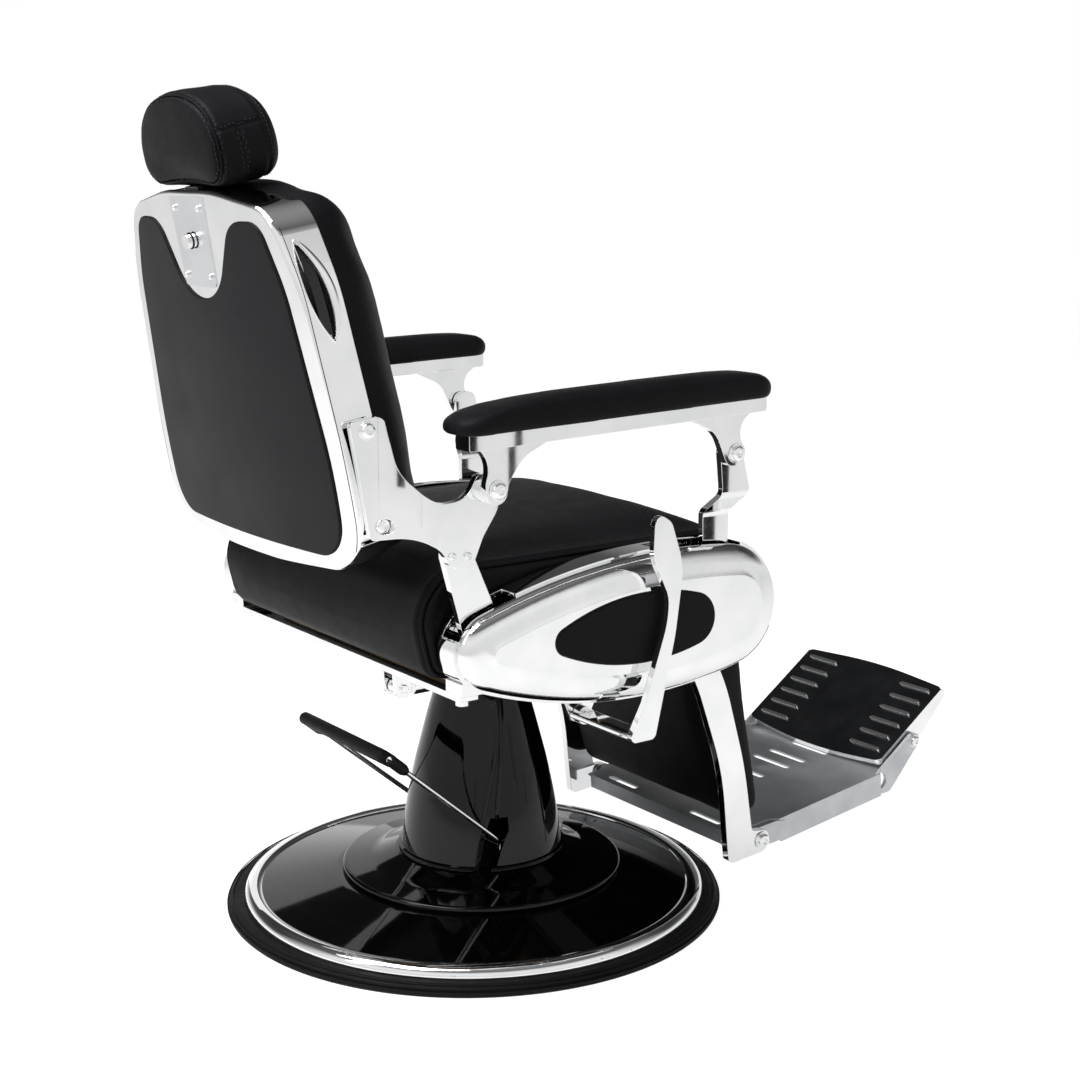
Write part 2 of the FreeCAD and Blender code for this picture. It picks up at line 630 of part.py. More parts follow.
def makeSeatFrame():
    hub = newBody("swivel_hub")
    onColumn(hub)
    sketch = newSketch(hub, "XZ_Plane")
    outline(sketch, [("ramRadius + fit", "coverTop + 5"), ("40", "coverTop + 5"), ("46", "plateZ - 8", "5"),
                     ("78", "plateZ - 8"), ("78", "plateZ"), ("0", "plateZ"), ("0", "ramTop + 0.3"),
                     ("ramRadius + fit", "ramTop + 0.3")])
    revolve(hub, sketch)

    plate = newBody("mounting_plate")
    sketch = newSketch(plate, "XY_Plane", "plateZ")
    outline(sketch, [("-webX", "-150"), ("-160", "-150", "20"), ("-120", "-110", "20"), ("120", "-110", "20"),
                     ("160", "-150", "20"), ("webX", "-150"), ("webX", "130"), ("160", "130", "20"),
                     ("120", "90", "20"), ("-120", "90", "20"), ("-160", "130", "20"), ("-webX", "130")])
    pad(plate, sketch, "plateThick")

    board = newBody("seat_board")
    sketch = newSketch(board, "XY_Plane", "plateZ + plateThick")
    outline(sketch, [("-232", "-195", "20"), ("232", "-195", "20"), ("232", "176", "30"), ("-232", "176", "30")])
    pad(board, sketch, "boardThick")

    rear = newBody("rear_cross_bar")
    sketch = newSketch(rear, "XY_Plane", "barZ")
    rectangle(sketch, "-webX - 26", "barY - 13", "webX + 26", "barY + 13")
    pad(rear, sketch, "barThick")
    front = newBody("front_cross_bar")
    sketch = newSketch(front, "XY_Plane", "barZ")
    rectangle(sketch, "-webX", "-190", "webX", "-164")
    pad(front, sketch, "barThick")

    for name, side in sides:
        frame = newBody("side_frame_" + name)
        sketch = sidePlane(frame, side, "webX")
        panelEdge(sketch, "-frameOffset")
        sidePad(frame, side, sketch, "rimX - webX")
        sketch = sidePlane(frame, side, "rimX")
        panelEdge(sketch, "5 - frameOffset")
        sidePocket(frame, side, sketch, "rimX - webX - webThick")
        # Lug over the rear cross bar's end
        sketch = sidePlane(frame, side, "webX")
        rectangle(sketch, "barY - 15", "barZ + barThick", "barY + 15", "barZ + barThick + 16")
        sidePad(frame, side, sketch, "rimX - webX")
        # The rim is open above for the post and for the pivot bar, over their whole swing
        sketch = sidePlane(frame, side, "rimX")
        outline(sketch, [("postPivotY - 30", "postPivotZ + 2"), ("postPivotY + 112", "postPivotZ + 2"),
                         ("postPivotY + 112", "postPivotZ + 80"), ("postPivotY - 30", "postPivotZ + 80")])
        outline(sketch, [("backPivotY - 40", "backPivotZ - 16"), ("backPivotY + 80", "backPivotZ - 16"),
                         ("backPivotY + 80", "backPivotZ + 60"), ("backPivotY - 40", "backPivotZ + 60")])
        sidePocket(frame, side, sketch, "rimX - webX - webThick")
        # Below, the rim makes way for the leg rest's crank behind it
        sketch = sidePlane(frame, side, "webX + 27")
        circle(sketch, "legAxisY", "legAxisZ", "34")
        sidePocket(frame, side, sketch, "27 - webThick")
        # Bores of the three axes
        sketch = sidePlane(frame, side, "rimX")
        circle(sketch, "legAxisY", "legAxisZ", "legTubeRadius + fit")
        circle(sketch, "backPivotY", "backPivotZ", "7")
        circle(sketch, "postPivotY", "postPivotZ", "7")
        sidePocket(frame, side, sketch, "rimX - webX")

        panel = newBody("side_panel_" + name)
        crown = [("rimX", "0"), ("rimX + 8", "1"), ("rimX + 15", "5.5"), ("domeX - 6", "15"), ("domeX", "36")]
        sections = []
        for distance, inset in crown:
            sketch = sidePlane(panel, side, distance)
            panelEdge(sketch, inset)
            sections.append(sketch)
        loft(panel, sections)
        hollow = [("rimX", "4"), ("rimX + 8", "7"), ("rimX + 14", "15"), ("domeX - 8", "34")]
        sections = []
        for distance, inset in hollow:
            sketch = sidePlane(panel, side, distance)
            panelEdge(sketch, inset)
            sections.append(sketch)
        loft(panel, sections, subtract=True)
        sketch = sidePlane(panel, side, "domeX + 1")
        insetEdge(sketch)
        sidePocket(panel, side, sketch, "4")

        inset = newBody("panel_inset_" + name)
        sketch = sidePlane(inset, side, "domeX - 3")
        insetEdge(sketch)
        sidePad(inset, side, sketch, "3 + insetProud")
        edge = lying("x", "%d * (domeX + insetProud)" % side)
        roundEdges(inset, "2.5", edge)

    pins = newBody("pivot_pins")
    for name, side in sides:
        sketch = sidePlane(pins, side, "webX")
        circle(sketch, "backPivotY", "backPivotZ", "7")
        circle(sketch, "postPivotY", "postPivotZ", "7")
        sidePad(pins, side, sketch, "28")

    # Under the hub's flange and under the ends of the rear cross bar
    bolts = newBody("frame_bolts")
    sketch = newSketch(bolts, "XY_Plane", "plateZ - 14")
    for turn in (45, 135, 225, 315):
        circle(sketch, "62 * cos(%d)" % turn, "columnY + 62 * sin(%d)" % turn, "8")
    pad(bolts, sketch, "6")
    sketch = newSketch(bolts, "XY_Plane", "barZ - 8")
    circle(sketch, "-webX - 12", "barY", "8")
    circle(sketch, "webX + 12", "barY", "8")
    pad(bolts, sketch, "8")


# Seat cushion: the side view, lofted across the chair, grows towards the middle
def makeSeatCushion():
    cushion = newBody("seat_cushion")
    sections = []
    floor = "plateZ + plateThick + boardThick"
    # Distance from the middle, drawn in all round, share of the crown
    edge = [("seatHalf", "12", 0), ("seatHalf - 2", "7", 0), ("seatHalf - 8", "2.6", 0), ("seatHalf - 20", "0", 0.05),
            ("seatHalf * 0.7", "0", 0.4), ("seatHalf * 0.4", "0", 0.8), ("seatHalf * 0.14", "0", 1)]
    stations = [("-(%s)" % part[0],) + part[1:] for part in edge] + edge[::-1]
    for distance, narrow, crown in stations:
        sketch = newSketch(cushion, "YZ_Plane", distance)
        belt(sketch, [("seatFront + 24", floor + " + 27", "20 - " + narrow),
                      ("-178", floor + " + 20", "20 - " + narrow),
                      ("seatRear - 38", floor + " + 28", "28 - " + narrow),
                      ("seatRear - 65", "seatTop - 65", "65 - " + narrow),
                      ("seatFront + 38", "seatTop - 38 + seatCrown * %g" % crown, "38 - " + narrow)])
        sections.append(sketch)
    loft(cushion, sections, ruled=True)


# Arms and their linkage

def makeLinkage():
    for name, side in sides:
        wing = newBody("wing_bracket_" + name)
        sketch = newSketch(wing, "XY_Plane", "540")
        plan = [("%d * flangeX" % side, "360"), ("%d * flangeX" % side, "300", "30"),
                ("%d * wingX" % side, "246", "26"), ("%d * wingX" % side, "140"),
                ("%d * (wingX + wingThick)" % side, "140"), ("%d * (wingX + wingThick)" % side, "250", "34"),
                ("%d * (flangeX + 7)" % side, "304", "22"), ("%d * (flangeX + 7)" % side, "360")]
        outline(sketch, plan)
        pad(wing, sketch, "190")

        def wingOutline(sketch):
            outline(sketch, [("332", "714", "6"), ("293", "720", "8"), ("281", "655", "60"), ("246", "617", "40"),
                             ("205", "621", "30"), ("backPivotY + 14", "backPivotZ + armPivotRise + 17", "8"),
                             ("backPivotY - 17", "backPivotZ + armPivotRise + 16", "15"),
                             ("backPivotY - 16", "608", "40"), ("182", "575", "40"),
                             ("197", "541", "14"), ("228", "543", "12"), ("234", "562", "40"),
                             ("268", "582", "50"), ("307", "577", "6")])
        trimSide(wing, side, "330", "100", wingOutline)
        # Flat seats of the two bolts
        sketch = sidePlane(wing, side, "330")
        circle(sketch, "309", "704", "9")
        circle(sketch, "293", "594", "9")
        sidePocket(wing, side, sketch, "330 - flangeX - 6.9")
        sketch = sidePlane(wing, side, "wingX + wingThick")
        circle(sketch, "backPivotY", "backPivotZ + armPivotRise", "16")
        sidePad(wing, side, sketch, "bracketX - 0.4 - wingX - wingThick")

        bar = newBody("pivot_bar_" + name)
        sketch = sidePlane(bar, side, "pivotBarX")
        belt(sketch, [("backPivotY", "backPivotZ", "20"), ("backPivotY + linkY", "backPivotZ + linkZ", "8"),
                      ("backPivotY + 37", "backPivotZ + 86", "19")])
        sidePad(bar, side, sketch, "wingX - pivotBarX")
        sketch = sidePlane(bar, side, "wingX")
        circle(sketch, "backPivotY", "backPivotZ", "7 + fit")
        sidePocket(bar, side, sketch, "wingX - pivotBarX")
        sketch = sidePlane(bar, side, "linkX - 1")
        circle(sketch, "backPivotY + linkY", "backPivotZ + linkZ", "3.5")
        sidePad(bar, side, sketch, "pivotBarX - linkX + 1")

        post = newBody("front_post_" + name)
        sketch = newSketch(post, "XZ_Plane", "150")
        outline(sketch, [("%d * postLowX" % side, "440"), ("%d * postLowX" % side, "postPivotZ + 84", "12"),
                         ("%d * postHighX" % side, "postPivotZ + 108", "12"), ("%d * postHighX" % side, "670"),
                         ("%d * (postHighX + postThick)" % side, "670"),
                         ("%d * (postHighX + postThick)" % side, "postPivotZ + 105", "12"),
                         ("%d * (postLowX + postThick)" % side, "postPivotZ + 81", "12"),
                         ("%d * (postLowX + postThick)" % side, "440")])
        pad(post, sketch, "80")

        def postOutline(sketch):
            outline(sketch, [("postPivotY - 20.5", "postPivotZ - 20.5", "20"), ("postPivotY + 20.5", "postPivotZ - 20.5", "20"),
                             ("postPivotY + 22", "postPivotZ + 84", "30"), ("postPivotY + 10", "postPivotZ + 112", "30"),
                             ("postPivotY + 17", "postPivotZ + armPivotRise + 16", "15"),
                             ("postPivotY - 17", "postPivotZ + armPivotRise + 16", "15"),
                             ("postPivotY - 35", "postPivotZ + 110", "20"), ("postPivotY - 21.5", "postPivotZ + 82", "30")])
        trimSide(post, side, "330", "70", postOutline)
        sketch = sidePlane(post, side, "330")
        circle(sketch, "postPivotY", "postPivotZ", "7 + fit")
        sidePocket(post, side, sketch, "60")
        sketch = sidePlane(post, side, "postHighX + postThick")
        circle(sketch, "postPivotY", "postPivotZ + armPivotRise", "boltRadius")
        sidePad(post, side, sketch, "bracketX + bracketThick + 1 - postHighX - postThick")
        sketch = sidePlane(post, side, "bracketX + bracketThick + 0.4")
        circle(sketch, "postPivotY", "postPivotZ + armPivotRise", "10")
        sidePad(post, side, sketch, "4")

        link = newBody("link_rod_" + name)
        sketch = sidePlane(link, side, "linkX")
        belt(sketch, [("legAxisY + linkY", "legAxisZ + linkZ", "5"), ("backPivotY + linkY", "backPivotZ + linkZ", "5")])
        sidePad(link, side, sketch, "linkThick")
        sketch = sidePlane(link, side, "linkX")
        circle(sketch, "legAxisY + linkY", "legAxisZ + linkZ", "6.5")
        circle(sketch, "backPivotY + linkY", "backPivotZ + linkZ", "6.5")
        sidePad(link, side, sketch, "linkThick")
        sketch = sidePlane(link, side, "linkX + linkThick")
        circle(sketch, "legAxisY + linkY", "legAxisZ + linkZ", "4")
        circle(sketch, "backPivotY + linkY", "backPivotZ + linkZ", "3.5 + fit")
        sidePocket(link, side, sketch, "linkThick")

    bolts = newBody("wing_bolts")
    for name, side in sides:
        sketch = sidePlane(bolts, side, "flangeX + 7")
        circle(sketch, "309", "704", "8.5")
        circle(sketch, "293", "594", "8.5")
        sidePad(bolts, side, sketch, "4")
        sketch = sidePlane(bolts, side, "wingX + wingThick")
        circle(sketch, "225", "557", "4.5")
        circle(sketch, "204", "555", "4.5")
        sidePad(bolts, side, sketch, "2.5")
        # Pivot bolt of the arm
        sketch = sidePlane(bolts, side, "bracketX - 0.4")
        circle(sketch, "backPivotY", "backPivotZ + armPivotRise", "boltRadius")
        sidePad(bolts, side, sketch, "bracketThick + 1.4")
        sketch = sidePlane(bolts, side, "bracketX + bracketThick + 0.4")
        circle(sketch, "backPivotY", "backPivotZ + armPivotRise", "10")
        sidePad(bolts, side, sketch, "4")


# An arm bar, its pad and the two brackets under it
def tiltArm(body):
    body.Placement = Placement(Vector(0, 0, value("armZ")), Rotation(Vector(-1, 0, 0), value("armTilt")))
    body.setExpression("Placement.Base.z", bound("armZ"))
    body.setExpression("Placement.Rotation.Angle", bound("armTilt"))


def armLine(y, rise):
    return "armZ - (%s) * tan(armTilt) + (%s) / cos(armTilt)" % (y, rise)


def makeArms():
    low = "-armBarHeight / 2"
    high = "armBarHeight / 2"
    for name, side in sides:
        frame = newBody("arm_frame_" + name)
        sketch = sidePlane(frame, side, "armX - armBarHalf")
        outline(sketch, [("armFront", armLine("armFront", low), "3"), ("armRear", armLine("armRear", low), "3"),
                         ("armRear", armLine("armRear", high)), ("armFront", armLine("armFront", high))])
        sidePad(frame, side, sketch, "2 * armBarHalf")
        # Rear bracket, over the wing's pivot
        sketch = sidePlane(frame, side, "bracketX")
        outline(sketch, [("100", armLine("100", low)), ("140", "666", "50"), ("backPivotY - 15", "638", "20"),
                         ("backPivotY - 11", "backPivotZ + armPivotRise - 18", "14"),
                         ("backPivotY + 15", "backPivotZ + armPivotRise - 15", "13"),
                         ("backPivotY + 17", "640", "20"), ("185", "660", "30"), ("200", armLine("200", low)),
                         ("150", armLine("150", "0"))])
        sidePad(frame, side, sketch, "bracketThick")
        sketch = sidePlane(frame, side, "bracketX + bracketThick")
        circle(sketch, "backPivotY", "backPivotZ + armPivotRise", "boltRadius + fit")
        sidePocket(frame, side, sketch, "bracketThick")
        # Front bracket, over the post's head
        sketch = sidePlane(frame, side, "bracketX")
        outline(sketch, [("-212", armLine("-212", low)), ("postPivotY + 4", "672", "24"),
                         ("postPivotY - 16", "postPivotZ + armPivotRise + 4", "14"),
                         ("postPivotY - 12", "postPivotZ + armPivotRise - 17", "14"),
                         ("postPivotY + 14", "postPivotZ + armPivotRise - 15", "13"),
                         ("postPivotY + 34", "670", "40"), ("-108", armLine("-108", low)),
                         ("-160", armLine("-160", "0"))])
        sidePad(frame, side, sketch, "bracketThick")
        sketch = sidePlane(frame, side, "bracketX + bracketThick")
        circle(sketch, "postPivotY", "postPivotZ + armPivotRise", "boltRadius + 0.5")
        sidePocket(frame, side, sketch, "bracketThick")

        cushion = newBody("arm_pad_" + name)
        tiltArm(cushion)
        sections = []
        for rise, front, rear, half in [("0", "-224", "234", "padHalf - 3"), ("0.16", "-228", "239", "padHalf"),
                                        ("0.45", "-229", "238", "padHalf"), ("0.68", "-224", "222", "padHalf - 1.5"),
                                        ("0.84", "-214", "190", "padHalf - 5"), ("0.95", "-190", "140", "padHalf - 12"),
                                        ("1", "-150", "90", "padHalf - 21")]:
            sketch = newSketch(cushion, "XY_Plane", "armBarHeight / 2 + padThick * " + rise)
            corner = "(%s) * 0.8" % half
            near = "%s + (%s) * 0.8" % (front, half)
            far = "%s - (%s) * 0.8" % (rear, half)
            outer = "%d * armX + (%s) * 0.2" % (side, half)
            inner = "%d * armX - (%s) * 0.2" % (side, half)
            belt(sketch, [(inner, near, corner), (outer, near, corner), (outer, far, corner), (inner, far, corner)])
            sections.append(sketch)
        loft(cushion, sections, ruled=True)


# Back and headrest, drawn upright: X across, Y to the rear, Z up from the foot

# Nearly straight sides, sloping shoulders and a slightly bowed foot
def backOutline(sketch, inset):
    right = [("60", "-6.5", "900"), ("backHalf", "3", "72"), ("backHalf + 2", "130", "700"),
             ("backHalf - 27", "backTall - 111", "200"), ("backHalf - 66", "backTall - 20", "60"),
             ("64", "backTall", "300")]
    outline(sketch, shrunk(mirrored(right), inset))


# A strip bent to the rear face's curve, between two depths in front of it
def bulgedStrip(body, half, rear, front, foot, height):
    sketch = newSketch(body, "XY_Plane", foot)
    spread = math.asin(value(half) / value("backBulge"))
    names = []
    for depth in (rear, front):
        radius = value("backBulge") - value(depth)
        middle = Vector(0, -value("backBulge"), 0)
        arc = Part.ArcOfCircle(Part.Circle(middle, Vector(0, 0, 1), radius), math.pi / 2 - spread, math.pi / 2 + spread)
        names.append(sketch.addGeometry(arc))
        pin(sketch, "DistanceX", (-1, 1, names[-1], 3), "0")
        pin(sketch, "DistanceY", (-1, 1, names[-1], 3), "-backBulge")
        pin(sketch, "Radius", (names[-1],), "backBulge - (%s)" % depth)
    outer, inner = names
    for end in (1, 2):
        a = sketch.getPoint(outer, end)
        b = sketch.getPoint(inner, end)
        line = sketch.addGeometry(Part.LineSegment(a, b))
        sketch.addConstraint(Sketcher.Constraint("Coincident", outer, end, line, 1))
        sketch.addConstraint(Sketcher.Constraint("Coincident", inner, end, line, 2))
        sign = "" if end == 1 else "-"
        pin(sketch, "DistanceX", (-1, 1, outer, end), "%s(%s)" % (sign, half))
        pin(sketch, "DistanceX", (-1, 1, inner, end), "%s(%s)" % (sign, half))
    return pad(body, sketch, height)


def makeBack():
    shell = newBody("back_shell")
    leanBack(shell)
    sketch = newSketch(shell, "XZ_Plane")
    backOutline(sketch, "0")
    pad(shell, sketch, "backDeep")
    # The rear face is a wide cylinder
    sketch = newSketch(shell, "XY_Plane", "-10")
    half = "backHalf + 20"
    spread = math.asin(value(half) / value("backBulge"))
    arc = Part.ArcOfCircle(Part.Circle(Vector(0, -value("backBulge"), 0), Vector(0, 0, 1), value("backBulge")),
                           math.pi / 2 - spread, math.pi / 2 + spread)
    sketch.addGeometry(arc)
    pin(sketch, "DistanceX", (-1, 1, 0, 3), "0")
    pin(sketch, "DistanceY", (-1, 1, 0, 3), "-backBulge")
    pin(sketch, "Radius", (0,), "backBulge")
    pin(sketch, "DistanceX", (-1, 1, 0, 1), half)
    pin(sketch, "DistanceX", (-1, 1, 0, 2), "-(%s)" % half)
    ends = [sketch.getPoint(0, 1), sketch.getPoint(0, 2)]
    top = [Vector(ends[1].x, 5, 0), Vector(ends[0].x, 5, 0)]
    sketch.addGeometry(Part.LineSegment(ends[1], top[0]))
    sketch.addGeometry(Part.LineSegment(top[0], top[1]))
    sketch.addGeometry(Part.LineSegment(top[1], ends[0]))
    for a, b in (((0, 2), (1, 1)), ((1, 2), (2, 1)), ((2, 2), (3, 1)), ((3, 2), (0, 1))):
        sketch.addConstraint(Sketcher.Constraint("Coincident", *a, *b))
    sketch.addConstraint(Sketcher.Constraint("Vertical", 1))
    sketch.addConstraint(Sketcher.Constraint("Vertical", 3))
    sketch.addConstraint(Sketcher.Constraint("Horizontal", 2))
    pin(sketch, "DistanceY", (-1, 1, 2, 1), "5")
    pocket(shell, sketch, "backTall + 20", True)

    def rearEdge(edge):
        reach = [vertex.Point for vertex in edge.Vertexes] + [edge.CenterOfMass]
        local = [shell.Placement.inverse().multVec(point) for point in reach]
        return all(abs(point.y + value("backBulge") - math.sqrt(value("backBulge") ** 2 - point.x ** 2)) < 0.5
                   for point in local)
    roundEdges(shell, "6", rearEdge)
    # Hollow in three steps that follow the curve of the rear face
    for inset, wall in (("backWall", "30"), ("88", "14"), ("150", "7.5")):
        sketch = newSketch(shell, "XZ_Plane", "backDeep")
        if inset == "150":
            outline(sketch, [("-80", "60", "20"), ("80", "60", "20"), ("80", "backTall - 40", "20"),
                             ("-80", "backTall - 40", "20")])
        elif inset == "88":
            outline(sketch, [("-148", "50", "40"), ("148", "50", "40"), ("140", "backTall - 60", "60"),
                             ("-140", "backTall - 60", "60")])
        else:
            backOutline(sketch, inset)
        pocket(shell, sketch, "backDeep - " + wall)
    # Opening for the headrest post, bore of the button, and the lens-shaped hand holds
    sketch = newSketch(shell, "XY_Plane", "backTall + 5")
    rectangle(sketch, "-postHalf - 4.5", "-postFront - 4", "postHalf + 4.5", "-postRear + 2.3")
    pocket(shell, sketch, "60")
    sketch = newSketch(shell, "XZ_Plane", "20")
    circle(sketch, "0", "buttonV", "buttonRadius + fit")
    pocket(shell, sketch, "25")
    for name, side in sides:
        sketch = sidePlane(shell, side, "backHalf + 10")
        lens(sketch, "-33.5", "326", "holdTall", "holdWide", "6.4")
        sidePocket(shell, side, sketch, "75")

    panel = newBody("back_panel")
    leanBack(panel)
    bulgedStrip(panel, "222", "-2.5", "0", "10", "410")
    sketch = newSketch(panel, "XZ_Plane", "60")
    rectangle(sketch, "-400", "-50", "400", "600")
    panelShape(sketch)
    pocket(panel, sketch, "80")

    plate = newBody("headrest_plate")
    leanBack(plate)
    bulgedStrip(plate, "60", "-1.5", "0", "300", "150")
    sketch = newSketch(plate, "XZ_Plane", "60")
    rectangle(sketch, "-400", "-50", "400", "600")
    outline(sketch, [("-40", "328", "5"), ("40", "328", "5"), ("44", "backTall - 7"), ("-44", "backTall - 7")])
    pocket(plate, sketch, "80")
    sketch = newSketch(plate, "XZ_Plane", "60")
    circle(sketch, "0", "buttonV", "buttonRadius + fit")
    pocket(plate, sketch, "80")

    # Four screw heads
    sketch = newSketch(plate, "XZ_Plane", "0")
    for across in ("-31.5", "31.5"):
        for up in ("341", "421"):
            circle(sketch, across, up, "4.5")
    pad(plate, sketch, "3.5", True)

    button = newBody("headrest_button")
    leanBack(button)
    sketch = newSketch(button, "XZ_Plane", "3")
    circle(sketch, "0", "buttonV", "buttonRadius")
    pad(button, sketch, "14", True)

    guide = newBody("headrest_guide")
    leanBack(guide)
    sketch = newSketch(guide, "XY_Plane", "232")
    rectangle(sketch, "-postHalf - 4", "-postFront - 3.5", "postHalf + 4", "-7.6")
    rectangle(sketch, "-postHalf - 0.3", "-postFront - 0.3", "postHalf + 0.3", "-postRear + 0.3")
    pad(guide, sketch, "165")

    board = newBody("back_board")
    leanBack(board)
    sketch = newSketch(board, "XZ_Plane", "30.2")
    backOutline(sketch, "backWall + 2")
    pad(board, sketch, "12")

    cushion = newBody("back_cushion")
    leanBack(cushion)
    sections = []
    for depth, inset in (("42.4", "backWall + 1.5"), ("backDeep", "backWall + 1.5"), ("cushionFront * 0.66", "2"),
                         ("cushionFront * 0.9", "16"), ("cushionFront", "42")):
        sketch = newSketch(cushion, "XZ_Plane", depth)
        backOutline(sketch, inset)
        sections.append(sketch)
    loft(cushion, sections)


# A lens between two arcs that meet above and below, turned clockwise by an angle
def lens(sketch, across, up, tall, wide, turn):
    tips = [("%s + %s / 2 * sin(%s)" % (across, tall, turn), "%s + %s / 2 * cos(%s)" % (up, tall, turn)),
            ("%s - %s / 2 * sin(%s)" % (across, tall, turn), "%s - %s / 2 * cos(%s)" % (up, tall, turn))]
    above, below = [Vector(value(tip[0]), value(tip[1]), 0) for tip in tips]
    arc = "(%s * %s + %s * %s) / (4 * %s)" % (tall, tall, wide, wide, wide)
    radius = value(arc)
    middle = (above + below) * 0.5
    aside = Vector(above.y - below.y, below.x - above.x, 0).normalize()
    first = sketch.GeometryCount
    for side, start, end in ((-1, below, above), (1, above, below)):
        centre = middle + aside * (side * (radius - value(wide) / 2))
        angles = [math.atan2(point.y - centre.y, point.x - centre.x) for point in (start, end)]
        if angles[1] < angles[0]:
            angles[1] += 2 * math.pi
        sketch.addGeometry(Part.ArcOfCircle(Part.Circle(centre, Vector(0, 0, 1), radius), *angles))
    sketch.addConstraint(Sketcher.Constraint("Coincident", first, 2, first + 1, 1))
    sketch.addConstraint(Sketcher.Constraint("Coincident", first + 1, 2, first, 1))
    for end, tip in ((2, tips[0]), (1, tips[1])):
        pin(sketch, "DistanceX", (-1, 1, first, end), tip[0])
        pin(sketch, "DistanceY", (-1, 1, first, end), tip[1])
    pin(sketch, "Radius", (first,), arc)
    pin(sketch, "Radius", (first + 1,), arc)


# Rear panel: round lower corners, two lobes above and one deep round bay between them
def panelShape(sketch):
    right = [("212", "19", "48"), ("218", "120", "500"), ("187", "330", "200"), ("157", "406", "30"),
             ("95.8", "406", "42")]
    outline(sketch, [right[0], right[1], right[2], right[3], right[4], ("0", "240", "72")]
            + [("-" + across, up, radius) for across, up, radius in reversed(right)])


# The headrest seen from behind: a dome on a rounded foot
def headrestOutline(sketch, inset):
    head = "headrestFoot + headrestTall"
    dome = [("-headrestHalf", "headrestFoot", "32"), ("headrestHalf", "headrestFoot", "32"),
            ("headrestHalf", head + " - 26.9", "61"), ("0", head + " + 10.7", "175"),
            ("-headrestHalf", head + " - 26.9", "61")]
    outline(sketch, shrunk(dome, inset))


def makeHeadrest():
    post = newBody("headrest_post")
    leanBack(post)
    sketch = newSketch(post, "XZ_Plane", "postRear")
    outline(sketch, [("-postHalf", "250", "4"), ("postHalf", "250", "4"), ("postHalf", "headrestFoot - 2"),
                     ("-postHalf", "headrestFoot - 2")])
    pad(post, sketch, "postFront - postRear")

    cushion = newBody("headrest_cushion")
    leanBack(cushion)
    sections = []
    for depth, inset in (("-1", "12"), ("6", "1"), ("headrestDeep * 0.45", "-1"), ("headrestDeep - 14", "1"),
                         ("headrestDeep", "16")):
        sketch = newSketch(cushion, "XZ_Plane", depth)
        headrestOutline(sketch, inset)
        sections.append(sketch)
    loft(cushion, sections)


# Leg rest and foot plates

def makeLegRest():
    tube = newBody("leg_tube")
    sketch = newSketch(tube, "YZ_Plane", "-pivotBarX - 8")
    circle(sketch, "legAxisY", "legAxisZ", "legTubeRadius")
    pad(tube, sketch, "2 * (pivotBarX + 8)")
    # Cranks of the two link rods, outside the side frames' webs
    for name, side in sides:
        sketch = sidePlane(tube, side, "pivotBarX")
        belt(sketch, [("legAxisY", "legAxisZ", "14"), ("legAxisY + linkY", "legAxisZ + linkZ", "7")])
        sidePad(tube, side, sketch, "8")
        sketch = sidePlane(tube, side, "linkX - 1")
        circle(sketch, "legAxisY + linkY", "legAxisZ + linkZ", "3.4")
        sidePad(tube, side, sketch, "pivotBarX - linkX + 1")
    # Lug of the lock rod
    sketch = newSketch(tube, "YZ_Plane", "lockX - 5")
    belt(sketch, [("legAxisY", "legAxisZ", "14"), ("lockFrontY", "lockZ", "10.5")])
    pad(tube, sketch, "10")
    sketch = newSketch(tube, "YZ_Plane", "lockX - 5")
    circle(sketch, "lockFrontY", "lockZ", "6.8")
    pocket(tube, sketch, "10", True)

    for name, side in sides:
        bar = newBody("leg_bar_" + name)
        sketch = sidePlane(bar, side, "legX")
        outline(sketch, [("legAxisY + 15.5", "legAxisZ + 15.5", "15.4"), ("legAxisY + 15.5", "legAxisZ - 14", "18"),
                         ("-241", "296", "260"), ("-287", "170", "400"), ("-299", "60", "500"), ("-303", "30", "10"),
                         ("footAxisY - 12", "footAxisZ - 17", "14"), ("footAxisY - 14", "footAxisZ + 13", "12"),
                         ("-345", "footAxisZ + 17", "8"), ("-328", "170", "600"), ("-286", "310", "300"),
                         ("legAxisY - 9.4", "legAxisZ + 15.5", "15.4")])
        sidePad(bar, side, sketch, "legThick")
        sketch = sidePlane(bar, side, "legX + legThick")
        circle(sketch, "legAxisY", "legAxisZ", "legTubeRadius")
        sidePocket(bar, side, sketch, "legThick")
        # Pivot bolt of the foot plate
        sketch = sidePlane(bar, side, "legX - 12")
        circle(sketch, "footAxisY", "footAxisZ", "boltRadius")
        sidePad(bar, side, sketch, "12")
        sketch = sidePlane(bar, side, "legX + legThick")
        circle(sketch, "footAxisY", "footAxisZ", "10")
        sidePad(bar, side, sketch, "5")

    # The side view, drawn in at both sides to round them off
    calf = newBody("calf_pad")
    sections = []
    edge = [("calfHalf", "9"), ("calfHalf - 2", "4.5"), ("calfHalf - 7", "1.5"), ("calfHalf - 16", "0"),
            ("calfHalf * 0.5", "-1.5")]
    for distance, inset in [("-(%s)" % part[0], part[1]) for part in edge] + edge[::-1]:
        sketch = newSketch(calf, "YZ_Plane", distance)
        belt(sketch, [("-362", "102", "14 - (%s)" % inset), ("-332", "100", "12 - (%s)" % inset),
                      ("-262", "318", "14 - (%s)" % inset), ("-314", "320", "20 - (%s)" % inset)])
        sections.append(sketch)
    loft(calf, sections, ruled=True)


